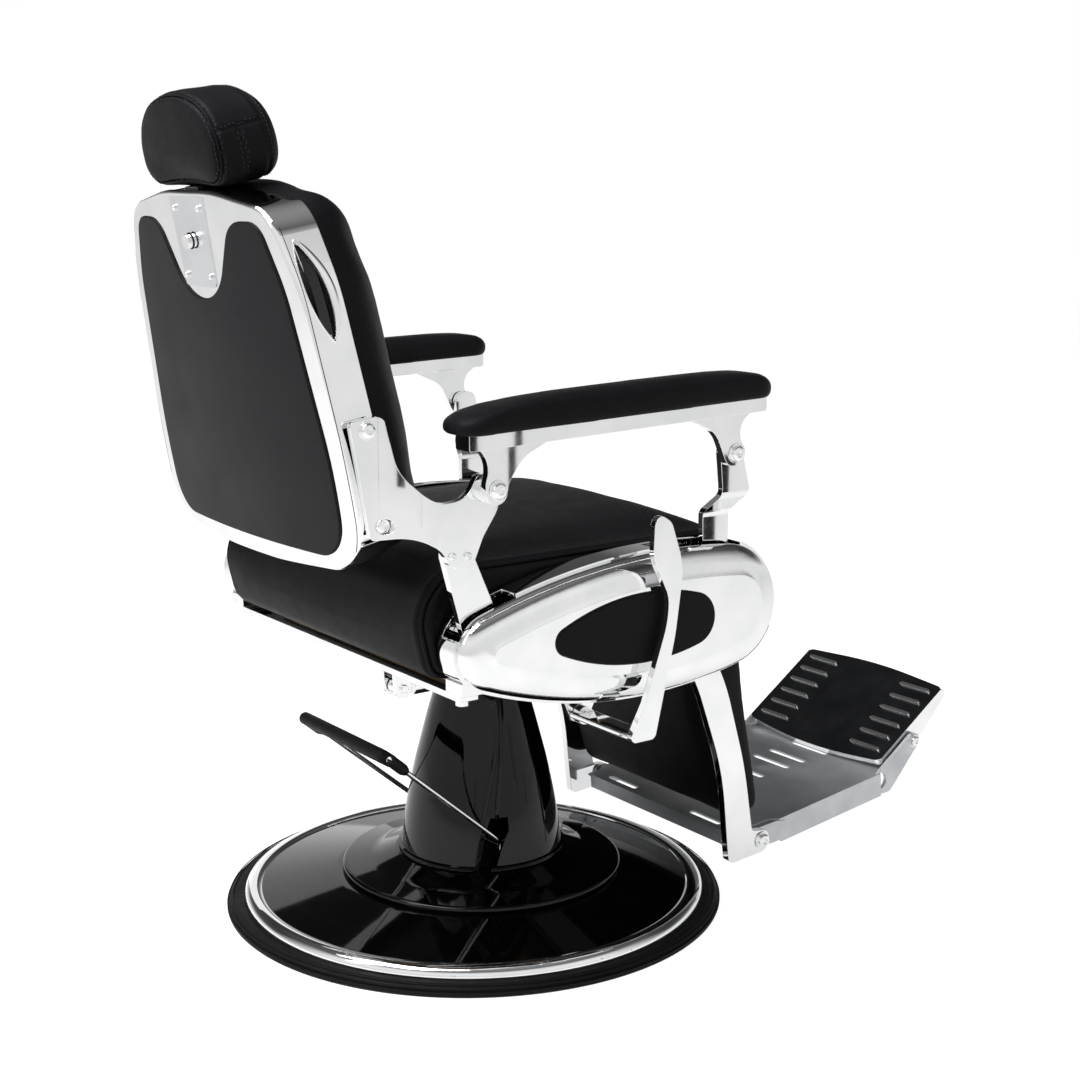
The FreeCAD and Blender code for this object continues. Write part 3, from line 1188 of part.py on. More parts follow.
# The foot plate is drawn level and then tilted about its axis
def makeFootPlate():
    plate = newBody("foot_plate")
    foot = "footAxisY * (1 - cos(footTilt)) - footAxisZ * sin(footTilt)"
    rise = "footAxisZ * (1 - cos(footTilt)) + footAxisY * sin(footTilt)"
    plate.Placement = Placement(Vector(0, value(foot), value(rise)), Rotation(Vector(-1, 0, 0), value("footTilt")))
    plate.setExpression("Placement.Base.y", bound(foot))
    plate.setExpression("Placement.Base.z", bound(rise))
    plate.setExpression("Placement.Rotation.Angle", bound("footTilt"))
    ahead, above = "(flipAxisY - footAxisY)", "(flipAxisZ - footAxisZ)"
    eyeY = "footAxisY + %s * cos(footTilt) - %s * sin(footTilt)" % (ahead, above)
    eyeZ = "footAxisZ + %s * sin(footTilt) + %s * cos(footTilt)" % (ahead, above)
    sketch = newSketch(plate, "XY_Plane", "footTop - footThick")
    outline(sketch, [("-164", "footRear"), ("-164", "-402"), ("-footWide", "-414"), ("-footNarrow", "-640"),
                     ("-145", "-648"), ("-140", "footFront", "24"), ("140", "footFront", "24"), ("145", "-648"),
                     ("footNarrow", "-640"), ("footWide", "-414"), ("164", "-402"), ("164", "footRear")])
    pad(plate, sketch, "footThick")
    # Down-turned rear lip and side flanges, which taper in plan with the plate
    sketch = newSketch(plate, "YZ_Plane", "-158")
    outline(sketch, [("footRear", "footTop - 1"), ("footRear - 3", "footTop - 1"), ("footRear - 3", "footTop - 21"),
                     ("footRear", "footTop - 21")])
    pad(plate, sketch, "316")
    sketch = newSketch(plate, "XY_Plane", "footTop - 36")
    for name, side in sides:
        run = [("%d * (footWide - 0.3)" % side, "-416"), ("%d * (footNarrow + 0.2)" % side, "-640"),
               ("%d * (footNarrow - 4)" % side, "-640"), ("%d * (footWide - 4.3)" % side, "-416")]
        outline(sketch, run)
    pad(plate, sketch, "35")
    # Hinge ears beside the legs
    for name, side in sides:
        sketch = sidePlane(plate, side, "legX - 12")
        belt(sketch, [("footAxisY", "footAxisZ", "12"), ("-404", "53", "12"), ("-418", "48", "14"), ("-396", "48", "14")])
        sidePad(plate, side, sketch, "10")
        sketch = sidePlane(plate, side, "legX - 2")
        circle(sketch, "footAxisY", "footAxisZ", "boltRadius + fit")
        sidePocket(plate, side, sketch, "30")
    # Up-turned arms that carry the flip plate
    for name, side in sides:
        sketch = sidePlane(plate, side, "flipHalf + 2.5")
        belt(sketch, [(eyeY, eyeZ, "12"), ("-654", "footTop - 21", "13"), ("-624", "footTop - 18", "14"),
                      ("-640", "footTop - 12", "13")])
        sidePad(plate, side, sketch, "6")
        # Pivot bolt of the flip plate
        sketch = sidePlane(plate, side, "flipHalf - 5")
        circle(sketch, eyeY, eyeZ, "5")
        sidePad(plate, side, sketch, "8")
        sketch = sidePlane(plate, side, "flipHalf + 8.5")
        circle(sketch, eyeY, eyeZ, "8")
        sidePad(plate, side, sketch, "4")
    # Slots: six across the middle, two at the rear
    sketch = newSketch(plate, "XY_Plane", "footTop")
    middle = "slotLength / 2 - slotWidth / 2"
    for y in ("-674", "-641", "-593", "-559", "-506", "-474"):
        belt(sketch, [("-(%s)" % middle, y, "slotWidth / 2"), (middle, y, "slotWidth / 2")])
    for x in ("-96", "96"):
        belt(sketch, [(x + " - 28", "-341", "slotWidth / 2"), (x + " + 28", "-341", "slotWidth / 2")])
    pocket(plate, sketch, "footThick")


# The flip plate is drawn flat: Y runs down its slope to the rear, Z is its upper side
def makeFlipPlate():
    plate = newBody("flip_plate")
    plate.Placement = Placement(Vector(0, value("flipFootY"), value("flipFootZ")),
                                Rotation(Vector(-1, 0, 0), value("flipAngle")))
    plate.setExpression("Placement.Base.y", bound("flipFootY"))
    plate.setExpression("Placement.Base.z", bound("flipFootZ"))
    plate.setExpression("Placement.Rotation.Angle", bound("flipAngle"))
    # A pressed sheet with bowed ends and a turned-down edge all round
    bowed = [("-flipHalf", "-flipLong", "10"), ("0", "-flipLong - 12", "900"), ("flipHalf", "-flipLong", "10"),
             ("flipHalf", "0", "12"), ("0", "18", "800"), ("-flipHalf", "0", "12")]
    sketch = newSketch(plate, "XY_Plane", "-flipThick")
    outline(sketch, bowed)
    pad(plate, sketch, "flipThick")
    sketch = newSketch(plate, "XY_Plane", "-10")
    outline(sketch, bowed)
    outline(sketch, shrunk(bowed, "flipThick"))
    pad(plate, sketch, "10 - flipThick + 0.5")
    for name, side in sides:
        sketch = sidePlane(plate, side, "flipHalf - 4")
        outline(sketch, [("-flipLong", "0", "5"), ("-flipLong", "-14", "6"), ("-90", "-30", "12"), ("-50", "-30", "12"),
                         ("-4", "-12", "6"), ("-4", "0")])
        sidePad(plate, side, sketch, "4")
    drop = Vector(0, value("flipAxisY - flipFootY"), value("flipAxisZ - flipFootZ"))
    turned = Rotation(Vector(1, 0, 0), value("flipAngle")).multVec(drop)
    for name, side in sides:
        sketch = sidePlane(plate, side, "flipHalf + 1")
        circle(sketch, str(turned.y), str(turned.z), "5 + fit")
        sidePocket(plate, side, sketch, "8")
    # Pressed ribs, six on each side
    sketch = newSketch(plate, "XY_Plane", "-1")
    for index in range(6):
        y = "-18 - %d * ribPitch" % index
        for side in (1, -1):
            near, far = ("ribInner", "ribOuter") if side > 0 else ("-ribOuter", "-ribInner")
            belt(sketch, [(near, y, "3"), (far, y, "3")])
    pad(plate, sketch, "4")


# Lock cylinder under the seat, with its clevis on the rear cross bar
def makeLock():
    clevis = newBody("lock_clevis")
    for inner in ("lockX - 15", "lockX + 10"):
        sketch = newSketch(clevis, "YZ_Plane", inner)
        outline(sketch, [("lockRearY - 12", "lockZ - 12", "11.5"), ("lockRearY + 12", "lockZ - 12", "11.5"),
                         ("lockRearY + 14", "barZ"), ("lockRearY - 10", "barZ")])
        pad(clevis, sketch, "5")
    sketch = newSketch(clevis, "YZ_Plane", "lockX - 19")
    circle(sketch, "lockRearY", "lockZ", "5")
    pad(clevis, sketch, "38")

    tube = newBody("lock_cylinder")
    sketch = newSketch(tube, "XZ_Plane", "-lockRearY + 18")
    circle(sketch, "lockX", "lockZ", "lockRadius")
    pad(tube, sketch, "215")
    sketch = newSketch(tube, "YZ_Plane", "lockX - 8")
    belt(sketch, [("lockRearY", "lockZ", "9.5"), ("lockRearY - 22", "lockZ", "9")])
    pad(tube, sketch, "16")
    sketch = newSketch(tube, "YZ_Plane", "lockX - 9")
    circle(sketch, "lockRearY", "lockZ", "5")
    pocket(tube, sketch, "18", True)
    sketch = newSketch(tube, "XZ_Plane", "-lockRearY + 18 + 215")
    circle(sketch, "lockX", "lockZ", "5 + fit")
    pocket(tube, sketch, "60")

    rod = newBody("lock_rod")
    sketch = newSketch(rod, "XZ_Plane", "10")
    circle(sketch, "lockX", "lockZ", "5")
    pad(rod, sketch, "-lockFrontY - 20 - 10")
    # Fork over the lug, with its pin
    sketch = newSketch(rod, "XY_Plane", "lockZ - 8")
    outline(sketch, [("lockX - 12", "lockFrontY - 9"), ("lockX - 7", "lockFrontY - 9"), ("lockX - 7", "lockFrontY + 17"),
                     ("lockX + 7", "lockFrontY + 17"), ("lockX + 7", "lockFrontY - 9"), ("lockX + 12", "lockFrontY - 9"),
                     ("lockX + 12", "lockFrontY + 26"), ("lockX - 12", "lockFrontY + 26")])
    pad(rod, sketch, "16")
    sketch = newSketch(rod, "YZ_Plane", "lockX - 10")
    circle(sketch, "lockFrontY", "lockZ", "4")
    pad(rod, sketch, "20")


# Recline lever, on the sitter's right only, and the bracket that carries it
def makeLever():
    lever = newBody("recline_lever")
    sketch = sidePlane(lever, -1, "leverX")
    outline(sketch, [("1", "304", "6"), ("-24", "350", "60"), ("-57", "445", "120"), ("-60", "478", "40"),
                     ("-34", "530", "50"), ("-36", "572", "14"), ("-44", "583", "8"), ("-62", "572", "20"),
                     ("-82", "515", "90"), ("-70", "430", "200"), ("-40", "303", "8")])
    sidePad(lever, -1, sketch, "leverThick")
    sketch = sidePlane(lever, -1, "leverHubX")
    outline(sketch, [("leverAxisY + 16", "leverAxisZ - 4", "3"), ("leverAxisY + 16", "leverAxisZ + 4", "3"),
                     ("leverAxisY - 16", "leverAxisZ + 4", "3"), ("leverAxisY - 16", "leverAxisZ - 4", "3")])
    sidePad(lever, -1, sketch, "leverX - leverHubX + 2")
    sketch = sidePlane(lever, -1, "leverHubX")
    circle(sketch, "leverAxisY", "leverAxisZ", "12")
    sidePad(lever, -1, sketch, "12")
    sketch = sidePlane(lever, -1, "leverHubX + 20")
    circle(sketch, "leverAxisY", "leverAxisZ", "5 + fit")
    sidePocket(lever, -1, sketch, "21")

    bracket = newBody("lever_bracket")
    sketch = sidePlane(bracket, -1, "leverHubX - 7")
    outline(sketch, [("-90", "plateZ"), ("leverAxisY - 12", "leverAxisZ - 10", "10"), ("leverAxisY + 12", "leverAxisZ - 10", "10"),
                     ("25", "plateZ")])
    sidePad(bracket, -1, sketch, "6")
    sketch = sidePlane(bracket, -1, "leverHubX - 1")
    outline(sketch, [("-62", "plateZ - 12", "6"), ("leverAxisY", "leverAxisZ + 22", "6"), ("2", "plateZ - 12", "6")])
    sidePocket(bracket, -1, sketch, "6")

    sketch = sidePlane(bracket, -1, "leverHubX - 1")
    circle(sketch, "leverAxisY", "leverAxisZ", "5")
    sidePad(bracket, -1, sketch, "14")
    sketch = sidePlane(bracket, -1, "leverHubX - 12")
    circle(sketch, "leverAxisY", "leverAxisZ", "8")
    sidePad(bracket, -1, sketch, "5")


makers = [makeBase, makePumpCover, makePump, makePedal, makeSeatFrame, makeSeatCushion, makeLinkage, makeArms,
          makeBack, makeHeadrest, makeLegRest, makeFootPlate, makeFlipPlate, makeLock, makeLever]
for make in makers:
    make()
    print("made", make.__name__)
document.recompute()

# Every object has to be sound before any file is written
pieces = [item for item in document.Objects if item.TypeId in ("PartDesign::Body", "Part::Cylinder")]
faults = [item.Label for item in document.Objects if "Invalid" in item.State or "Error" in item.State]
for item in pieces:
    if item.Shape.isNull() or not item.Shape.isValid() or not item.Shape.Solids:
        faults.append(item.Label)
if faults:
    raise ValueError("not sound: " + ", ".join(faults))
os.makedirs("parts", exist_ok=True)
for item in pieces:
    item.Shape.exportStep("parts/%s.step" % item.Label)
print(len(pieces), "pieces")
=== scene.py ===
import math
import bmesh
import bpy
import numpy as np
from mathutils import Matrix, Vector
from mathutils.bvhtree import BVHTree
from mathutils.kdtree import KDTree


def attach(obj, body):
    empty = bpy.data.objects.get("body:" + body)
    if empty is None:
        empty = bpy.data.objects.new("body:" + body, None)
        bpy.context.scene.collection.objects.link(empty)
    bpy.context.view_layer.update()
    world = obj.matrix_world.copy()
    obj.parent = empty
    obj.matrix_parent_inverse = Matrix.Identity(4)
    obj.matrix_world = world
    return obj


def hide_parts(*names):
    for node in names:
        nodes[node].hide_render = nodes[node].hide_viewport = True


# Hydraulic barber chair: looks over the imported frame, in metres. The sitter faces -Y

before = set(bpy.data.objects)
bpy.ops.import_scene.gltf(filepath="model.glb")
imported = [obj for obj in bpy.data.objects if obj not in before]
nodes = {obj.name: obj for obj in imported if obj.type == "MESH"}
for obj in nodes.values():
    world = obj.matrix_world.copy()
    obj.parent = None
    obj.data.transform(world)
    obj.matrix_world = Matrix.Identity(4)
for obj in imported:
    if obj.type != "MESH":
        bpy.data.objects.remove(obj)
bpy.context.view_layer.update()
bothSides = ((1, "Left"), (-1, "Right"))
print("frame loaded:", len(nodes), "nodes")


# Materials

def linear(code):
    parts = [int(code[i:i + 2], 16) / 255 for i in (1, 3, 5)]
    return tuple(c / 12.92 if c <= 0.04045 else ((c + 0.055) / 1.055) ** 2.4 for c in parts) + (1.0,)


def addNode(tree, kind, settings=None, links=None):
    node = tree.nodes.new("ShaderNode" + kind)
    for key, value in (settings or {}).items():
        if isinstance(key, int) or key in node.inputs:
            node.inputs[key].default_value = value
        else:
            setattr(node, key, value)
    for key, socket in (links or {}).items():
        tree.links.new(socket, node.inputs[key])
    return node


def emptyTree(owner):
    owner.use_nodes = True
    owner.node_tree.nodes.clear()
    return owner.node_tree


# A pattern is (size, detail, roughness): size is millimetres, or repeats per metre along X, Y and Z.
# Colour and roughness follow the middle of a pattern's range, where most of its values lie
patternRange = {"From Min": 0.3, "From Max": 0.7}


# Leather's pebbles: cells with rounded edges, pushed about by a wider pattern so that no two are alike
def pebbleHeight(tree, where, cells):
    warp = addNode(tree, "TexNoise", {"Scale": 1000 / cells["warp"], "Detail": 2}, {"Vector": where})
    push = addNode(tree, "VectorMath", {"operation": "SCALE", "Scale": cells["push"]}, {0: warp.outputs["Color"]})
    pushed = addNode(tree, "VectorMath", {"operation": "ADD"}, {0: where, 1: push.outputs[0]})
    edges = addNode(tree, "TexVoronoi", {"feature": "DISTANCE_TO_EDGE", "Scale": 1000 / cells["size"]},
                    {"Vector": pushed.outputs[0]})
    rounded = addNode(tree, "MapRange", {"From Min": 0.0, "From Max": cells["rounding"]},
                      {"Value": edges.outputs["Distance"]})
    return rounded.outputs[0]


# shader: fixed settings. driven: socket to (pattern, low, high). relief: (pattern, depth in metres, strength)
def makeSurface(name, shader, patterns, driven, relief=(), cells=None, easedEdge=0):
    material = bpy.data.materials.new(name)
    tree = emptyTree(material)
    where = addNode(tree, "TexCoord").outputs["Object"]
    heights = {}
    for key, (size, detail, rough) in patterns.items():
        along, scale = where, 1.0
        if isinstance(size, tuple):
            along = addNode(tree, "Mapping", {"Scale": size}, {"Vector": where}).outputs[0]
        else:
            scale = 1000 / size
        pattern = addNode(tree, "TexNoise", {"Scale": scale, "Detail": detail, "Roughness": rough}, {"Vector": along})
        heights[key] = pattern.outputs[0]
    if cells:
        heights["cells"] = pebbleHeight(tree, where, cells)
    links = {}
    for socket, (key, low, high) in driven.items():
        coloured = isinstance(low, str)
        ends = {"To Min": 0 if coloured else low, "To Max": 1 if coloured else high}
        links[socket] = addNode(tree, "MapRange", {**patternRange, **ends}, {"Value": heights[key]}).outputs[0]
        if coloured:
            mix = addNode(tree, "Mix", {"data_type": "RGBA", 6: linear(low), 7: linear(high)}, {0: links[socket]})
            links[socket] = mix.outputs[2]
    for key, depth, strength in relief:
        under = {"Normal": links["Normal"]} if "Normal" in links else {}
        bump = addNode(tree, "Bump", {"Distance": depth, "Strength": strength}, {"Height": heights[key], **under})
        links["Normal"] = bump.outputs[0]
    if easedEdge:
        links["Normal"] = addNode(tree, "Bevel", {"samples": 4, "Radius": easedEdge}).outputs[0]
    principled = addNode(tree, "BsdfPrincipled", shader, links)
    addNode(tree, "OutputMaterial", None, {0: principled.outputs[0]})
    return material


# Bright nickel-chrome plate on polished castings: a clean mirror with faint wiping haze, its edges eased to
# about 1 mm by polishing
chrome = makeSurface("brightChromePlate", {"Metallic": 1.0}, {"haze": (45, 4, 0.5)},
                     {"Base Color": ("haze", "#eceded", "#f6f6f7"), "Roughness": ("haze", 0.015, 0.04)},
                     easedEdge=0.0012)

# Chrome over a brushed pressing: soft grey, reflections blurred
satin = makeSurface("satinChromePlate", {"Metallic": 1.0}, {"haze": (60, 4, 0.5)},
                    {"Base Color": ("haze", "#dcdee0", "#e8e9eb"), "Roughness": ("haze", 0.16, 0.23)})

# Stainless sheet brushed across the plate: dull grey with straight lines about 0.4 mm apart, drawn at 1.2 mm
stainless = makeSurface("brushedStainless", {"Metallic": 1.0, "Anisotropic": 0.4},
                        {"brush": ((12, 820, 820), 2, 0.5), "haze": (50, 3, 0.5)},
                        {"Base Color": ("haze", "#bcbec1", "#cdcfd1"), "Roughness": ("brush", 0.46, 0.56)},
                        [("brush", 0.00008, 0.5)])

# Dark polished stainless of the flip plate: near mirror, smoked grey
smoked = makeSurface("smokedStainless", {"Metallic": 1.0}, {"haze": (40, 3, 0.5)},
                     {"Base Color": ("haze", "#55575a", "#66686b"), "Roughness": ("haze", 0.1, 0.18)})

# Stoved black enamel over pressed steel: deep gloss with slight orange peel of about 5 mm
enamel = makeSurface("glossBlackEnamel", {"IOR": 1.5, "Specular IOR Level": 0.3},
                     {"peel": (5, 2, 0.5), "dust": (30, 6, 0.65)},
                     {"Base Color": ("dust", "#030303", "#070708"), "Roughness": ("dust", 0.03, 0.06)},
                     [("peel", 0.00004, 0.2)])

# Black powder coat on brackets and hidden frame parts: fine matt grain, worn a little lighter in places
powder = makeSurface("blackPowderCoat", {"IOR": 1.5}, {"grain": (1.6, 3, 0.5), "wear": (22, 5, 0.5)},
                     {"Base Color": ("wear", "#0f0f10", "#1a1a1b"), "Roughness": ("wear", 0.36, 0.5)},
                     [("grain", 0.0002, 0.3)])

# Moulded black rubber: matt, slightly dusty
rubber = makeSurface("moldedBlackRubber", {"IOR": 1.5, "Specular IOR Level": 0.2},
                     {"grain": (2.2, 4, 0.5), "dust": (35, 5, 0.6)},
                     {"Base Color": ("dust", "#070708", "#0f0f10"), "Roughness": ("dust", 0.5, 0.68)},
                     [("grain", 0.0003, 0.35)])

# Black upholstery leather: soft creases under a pebble grain of about 1.2 mm, drawn at 2.4 mm so that it shows
leather = makeSurface("blackUpholsteryLeather", {"IOR": 1.48, "Specular IOR Level": 0.1},
                      {"crease": (26, 6, 0.62), "tone": (90, 4, 0.5)},
                      {"Base Color": ("tone", "#151517", "#1a1a1d"), "Roughness": ("crease", 0.46, 0.54)},
                      [("crease", 0.0009, 0.22), ("cells", 0.00022, 0.45)],
                      cells={"size": 2.4, "warp": 6, "push": 0.0022, "rounding": 0.22})

# Thermoformed ABS sheet with a fine leather texture: satin black
panelAbs = makeSurface("blackTexturedAbs", {"IOR": 1.5, "Specular IOR Level": 0.15},
                       {"grain": (1.8, 3, 0.5), "tone": (80, 3, 0.5)},
                       {"Base Color": ("tone", "#121014", "#17151a"), "Roughness": ("tone", 0.42, 0.5)},
                       [("grain", 0.00016, 0.35)])

# Birch plywood boards, seen only from beneath: long pale grain
birch = makeSurface("birchPlywood", {"IOR": 1.5}, {"grain": ((8, 90, 300), 5, 0.5)},
                    {"Base Color": ("grain", "#6f5536", "#a5845a"), "Roughness": ("grain", 0.55, 0.7)})

# Sand-cast iron under grey primer: dull, with the sand's pits
iron = makeSurface("primedCastIron", {"IOR": 1.5}, {"sand": (2.5, 5, 0.7)},
                   {"Base Color": ("sand", "#1d1e20", "#2b2c2e"), "Roughness": ("sand", 0.55, 0.75)},
                   [("sand", 0.0005, 0.5)])

# Bonded polyester thread, black: a faint twist
thread = makeSurface("blackSewingThread", {"IOR": 1.5}, {"twist": (1.2, 2, 0.5)},
                     {"Base Color": ("twist", "#1c1c1e", "#2a2a2c"), "Roughness": ("twist", 0.45, 0.6)})

sharpEdge = 32  # degrees between faces that stay a sharp edge on the CAD nodes
finishes = {
    chrome: ["base_rim", "side_frame_left", "side_frame_right", "side_panel_left", "side_panel_right", "back_shell",
             "wing_bracket_left", "wing_bracket_right", "pivot_bar_left", "pivot_bar_right", "front_post_left",
             "front_post_right", "arm_frame_left", "arm_frame_right", "leg_bar_left", "leg_bar_right",
             "headrest_button", "recline_lever", "lock_cylinder", "wing_bolts", "frame_bolts", "pivot_pins",
             "pedal_shaft", "pump_plunger", "ram", "lock_rod", "link_rod_left", "link_rod_right",
             "rear_cross_bar", "lever_bracket", "lock_clevis", "pedal_frame"],
    satin: ["headrest_plate"],
    stainless: ["foot_plate"],
    smoked: ["flip_plate"],
    enamel: ["base_dish", "pump_cover", "cover_flange"],
    powder: ["headrest_post", "back_board", "mounting_plate", "front_cross_bar", "swivel_hub", "leg_tube",
             "headrest_guide"],
    rubber: ["base_rubber_ring", "pedal_grip"],
    leather: ["seat_cushion", "back_cushion", "headrest_cushion", "arm_pad_left", "arm_pad_right", "calf_pad",
              "panel_inset_left", "panel_inset_right"],
    panelAbs: ["back_panel"],
    birch: ["seat_board"],
    iron: ["base_disc", "pump_body"],
}
for material, names in finishes.items():
    for name in names:
        mesh = nodes[name].data
        mesh.materials.clear()
        mesh.materials.append(material)
        mesh.shade_smooth()
        mesh.set_sharp_from_angle(angle=math.radians(sharpEdge))
print("materials ready")


# Studio: white to the camera. Metal and gloss see a white sweep, a dark ceiling, the lamps and narrow black flags.
# farSide and nearSide give the room's level from straight down (0) to straight up (1), ahead of and behind the camera
studioDesign = {"fill": 0.17, "lookAlong": (0.81, -0.586, 0.0), "blend": 0.35,
                "farSide": [(0.0, 0.7), (0.55, 0.8), (0.6, 0.35), (0.66, 0.08), (0.78, 0.04), (0.9, 0.1), (1.0, 0.3)],
                "nearSide": [(0.0, 0.7), (0.54, 0.8), (0.7, 0.9), (0.8, 0.75), (0.88, 0.12), (1.0, 0.3)],
                "floorHalf": 9, "floorTones": ("#c6c6c6", "#cacaca"), "floorFibre": (4, 3),
                "floorGlow": 0.9, "floorMirrored": 0.66,
                # name, spot, aim, width, depth, watts, seen in mirrors
                "lamps": [("overheadLamp", (0.2, 1.3, 3.1), (0, 0, 0.5), 2.2, 1.6, 78, True),
                          ("sideLamp", (-2.6, -0.7, 1.5), (0, 0, 0.6), 0.35, 2.2, 6, False),
                          ("stripLamp", (0.2, 2.5, 2.4), (0, 0, 0.8), 0.35, 2.2, 14, True),
                          ("farSoftbox", (3.05, -0.85, 0.95), (0, 0, 0.1), 1.2, 1.3, 4.2, True)],
                # upright strips: X, Y start, Y end, low, high
                "flags": [(-1.945, 1.888, 1.862, 0.235, 0.5), (-1.945, 1.802, 1.778, 0.15, 0.5),
                          (-1.945, -0.84, -0.875, 0.30, 0.6), (-1.945, -0.975, -0.995, 0.2, 0.62),
                          (-1.945, -1.61, -1.65, 0.05, 0.3)]}
# The photograph's view: spot and direction in the chair's frame, lens and sensor in millimetres
cameraDesign = {"spot": (-2.0291, 1.3544, 0.9994), "look": (0.7939, -0.574, -0.2006), "lens": 61.83, "sensor": 36}
white = (1, 1, 1, 1)


def makeRoom():
    bpy.context.scene.view_settings.view_transform = "Standard"
    world = bpy.data.worlds.new("whiteRoom")
    bpy.context.scene.world = world
    tree = emptyTree(world)
    ray = addNode(tree, "LightPath").outputs
    direction = addNode(tree, "TexCoord").outputs["Generated"]
    height = addNode(tree, "SeparateXYZ", None, {0: direction}).outputs[2]
    share = addNode(tree, "MapRange", {"From Min": -1.0, "From Max": 1.0}, {"Value": height}).outputs[0]
    along = addNode(tree, "VectorMath", {"operation": "DOT_PRODUCT", 1: studioDesign["lookAlong"]}, {0: direction})
    side = addNode(tree, "MapRange", {"From Min": -studioDesign["blend"], "From Max": studioDesign["blend"]},
                   {"Value": along.outputs["Value"]}).outputs[0]
    ramps = []
    for stops in (studioDesign["nearSide"], studioDesign["farSide"]):
        ramp = addNode(tree, "ValToRGB", None, {0: share})
        elements = ramp.color_ramp.elements
        while len(elements) < len(stops):
            elements.new(0.5)
        for element, (position, level) in zip(elements, stops):
            element.position = position
            element.color = (level, level, level, 1)
        ramps.append(ramp.outputs[0])
    room = addNode(tree, "Mix", {"data_type": "RGBA"}, {0: side, 6: ramps[0], 7: ramps[1]}).outputs[2]
    mirrored = addNode(tree, "Background", {"Strength": 1.0}, {"Color": room}).outputs[0]
    seen = addNode(tree, "Background", {"Color": white, "Strength": 1.0}).outputs[0]
    light = addNode(tree, "Background", {"Color": white, "Strength": studioDesign["fill"]}).outputs[0]
    for kind, shown in (("Is Glossy Ray", mirrored), ("Is Camera Ray", seen)):
        light = addNode(tree, "MixShader", None, {0: ray[kind], 1: light, 2: shown}).outputs[0]
    addNode(tree, "OutputWorld", None, {0: light})


def makeSheet(name, corners, material):
    mesh = bpy.data.meshes.new(name)
    mesh.from_pydata(corners, [], [(0, 1, 2, 3)])
    mesh.materials.append(material)
    sheet = bpy.data.objects.new(name, mesh)
    bpy.context.scene.collection.objects.link(sheet)
    return sheet


# Floor: a matt white paper sweep that glows to the camera and in mirrors, and keeps the chair's shadow
def makeFloor():
    material = bpy.data.materials.new("whitePaperSweep")
    tree = emptyTree(material)
    ray = addNode(tree, "LightPath").outputs
    size, detail = studioDesign["floorFibre"]
    fibre = addNode(tree, "TexNoise", {"Scale": 1000 / size, "Detail": detail},
                    {"Vector": addNode(tree, "TexCoord").outputs["Object"]})
    share = addNode(tree, "MapRange", patternRange, {"Value": fibre.outputs[0]}).outputs[0]
    dark, light = (linear(code) for code in studioDesign["floorTones"])
    tone = addNode(tree, "Mix", {"data_type": "RGBA", 6: dark, 7: light}, {0: share}).outputs[2]
    paper = addNode(tree, "BsdfDiffuse", None, {0: tone}).outputs[0]
    shown = paper
    for kind, glow in (("Is Glossy Ray", "floorMirrored"), ("Is Camera Ray", "floorGlow")):
        glowing = addNode(tree, "Emission", {"Color": white, "Strength": studioDesign[glow]}).outputs[0]
        lit = addNode(tree, "AddShader", None, {0: paper, 1: glowing}).outputs[0]
        shown = addNode(tree, "MixShader", None, {0: ray[kind], 1: shown, 2: lit}).outputs[0]
    addNode(tree, "OutputMaterial", None, {0: shown})
    half = studioDesign["floorHalf"]
    floor = makeSheet("floorSheet", [(-half, -half, 0), (half, -half, 0), (half, half, 0), (-half, half, 0)], material)


def makeLamps():
    for name, spot, aim, width, depth, watts, mirrored in studioDesign["lamps"]:
        lamp = bpy.data.lights.new(name, "AREA")
        lamp.shape = "RECTANGLE"
        lamp.size = width
        lamp.size_y = depth
        lamp.energy = watts
        item = bpy.data.objects.new(name, lamp)
        item.location = spot
        item.rotation_euler = (Vector(aim) - Vector(spot)).to_track_quat("-Z", "Y").to_euler()
        item.visible_camera = False
        item.visible_glossy = mirrored
        bpy.context.scene.collection.objects.link(item)


# Black felt strips, seen only in mirrors, give the plated sides their dark streaks
def makeFlags():
    felt = makeSurface("blackFelt", {"Base Color": linear("#0a0a0a"), "Roughness": 0.9}, {}, {})
    for number, (across, start, end, low, high) in enumerate(studioDesign["flags"], start=1):
        corners = [(across, start, low), (across, end, low), (across, end, high), (across, start, high)]
        flag = makeSheet("studioFlag%d" % number, corners, felt)
        flag.visible_camera = flag.visible_diffuse = flag.visible_shadow = flag.visible_transmission = False


def makeCamera():
    eye = bpy.data.cameras.new("photoCamera")
    eye.lens = cameraDesign["lens"]
    eye.sensor_width = cameraDesign["sensor"]
    camera = bpy.data.objects.new("photoCamera", eye)
    camera.location = cameraDesign["spot"]
    camera.rotation_euler = Vector(cameraDesign["look"]).to_track_quat("-Z", "Y").to_euler()
    bpy.context.scene.collection.objects.link(camera)
    bpy.context.scene.camera = camera


makeRoom()
makeFloor()
makeLamps()
makeFlags()
makeCamera()
print("studio ready")


# Geometry helpers

def place(piece, body, material, replaced=()):
    if piece.name not in bpy.context.scene.collection.objects:
        bpy.context.scene.collection.objects.link(piece)
    if material:
        piece.data.materials.clear()
        piece.data.materials.append(material)
    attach(piece, body)
    if replaced:
        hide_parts(*replaced)
    return piece


def baked(piece):
    bpy.context.view_layer.update()
    seen = piece.evaluated_get(bpy.context.evaluated_depsgraph_get())
    mesh = bpy.data.meshes.new_from_object(seen)
    piece.modifiers.clear()
    old = piece.data
    piece.data = mesh
    bpy.data.meshes.remove(old)
    return piece


def positions(piece):
    points = np.empty(len(piece.data.vertices) * 3, np.float32)
    piece.data.vertices.foreach_get("co", points)
    return points.reshape(-1, 3).astype(float)


def normals(piece):
    points = np.empty(len(piece.data.vertices) * 3, np.float32)
    piece.data.vertex_normals.foreach_get("vector", points)
    return points.reshape(-1, 3).astype(float)


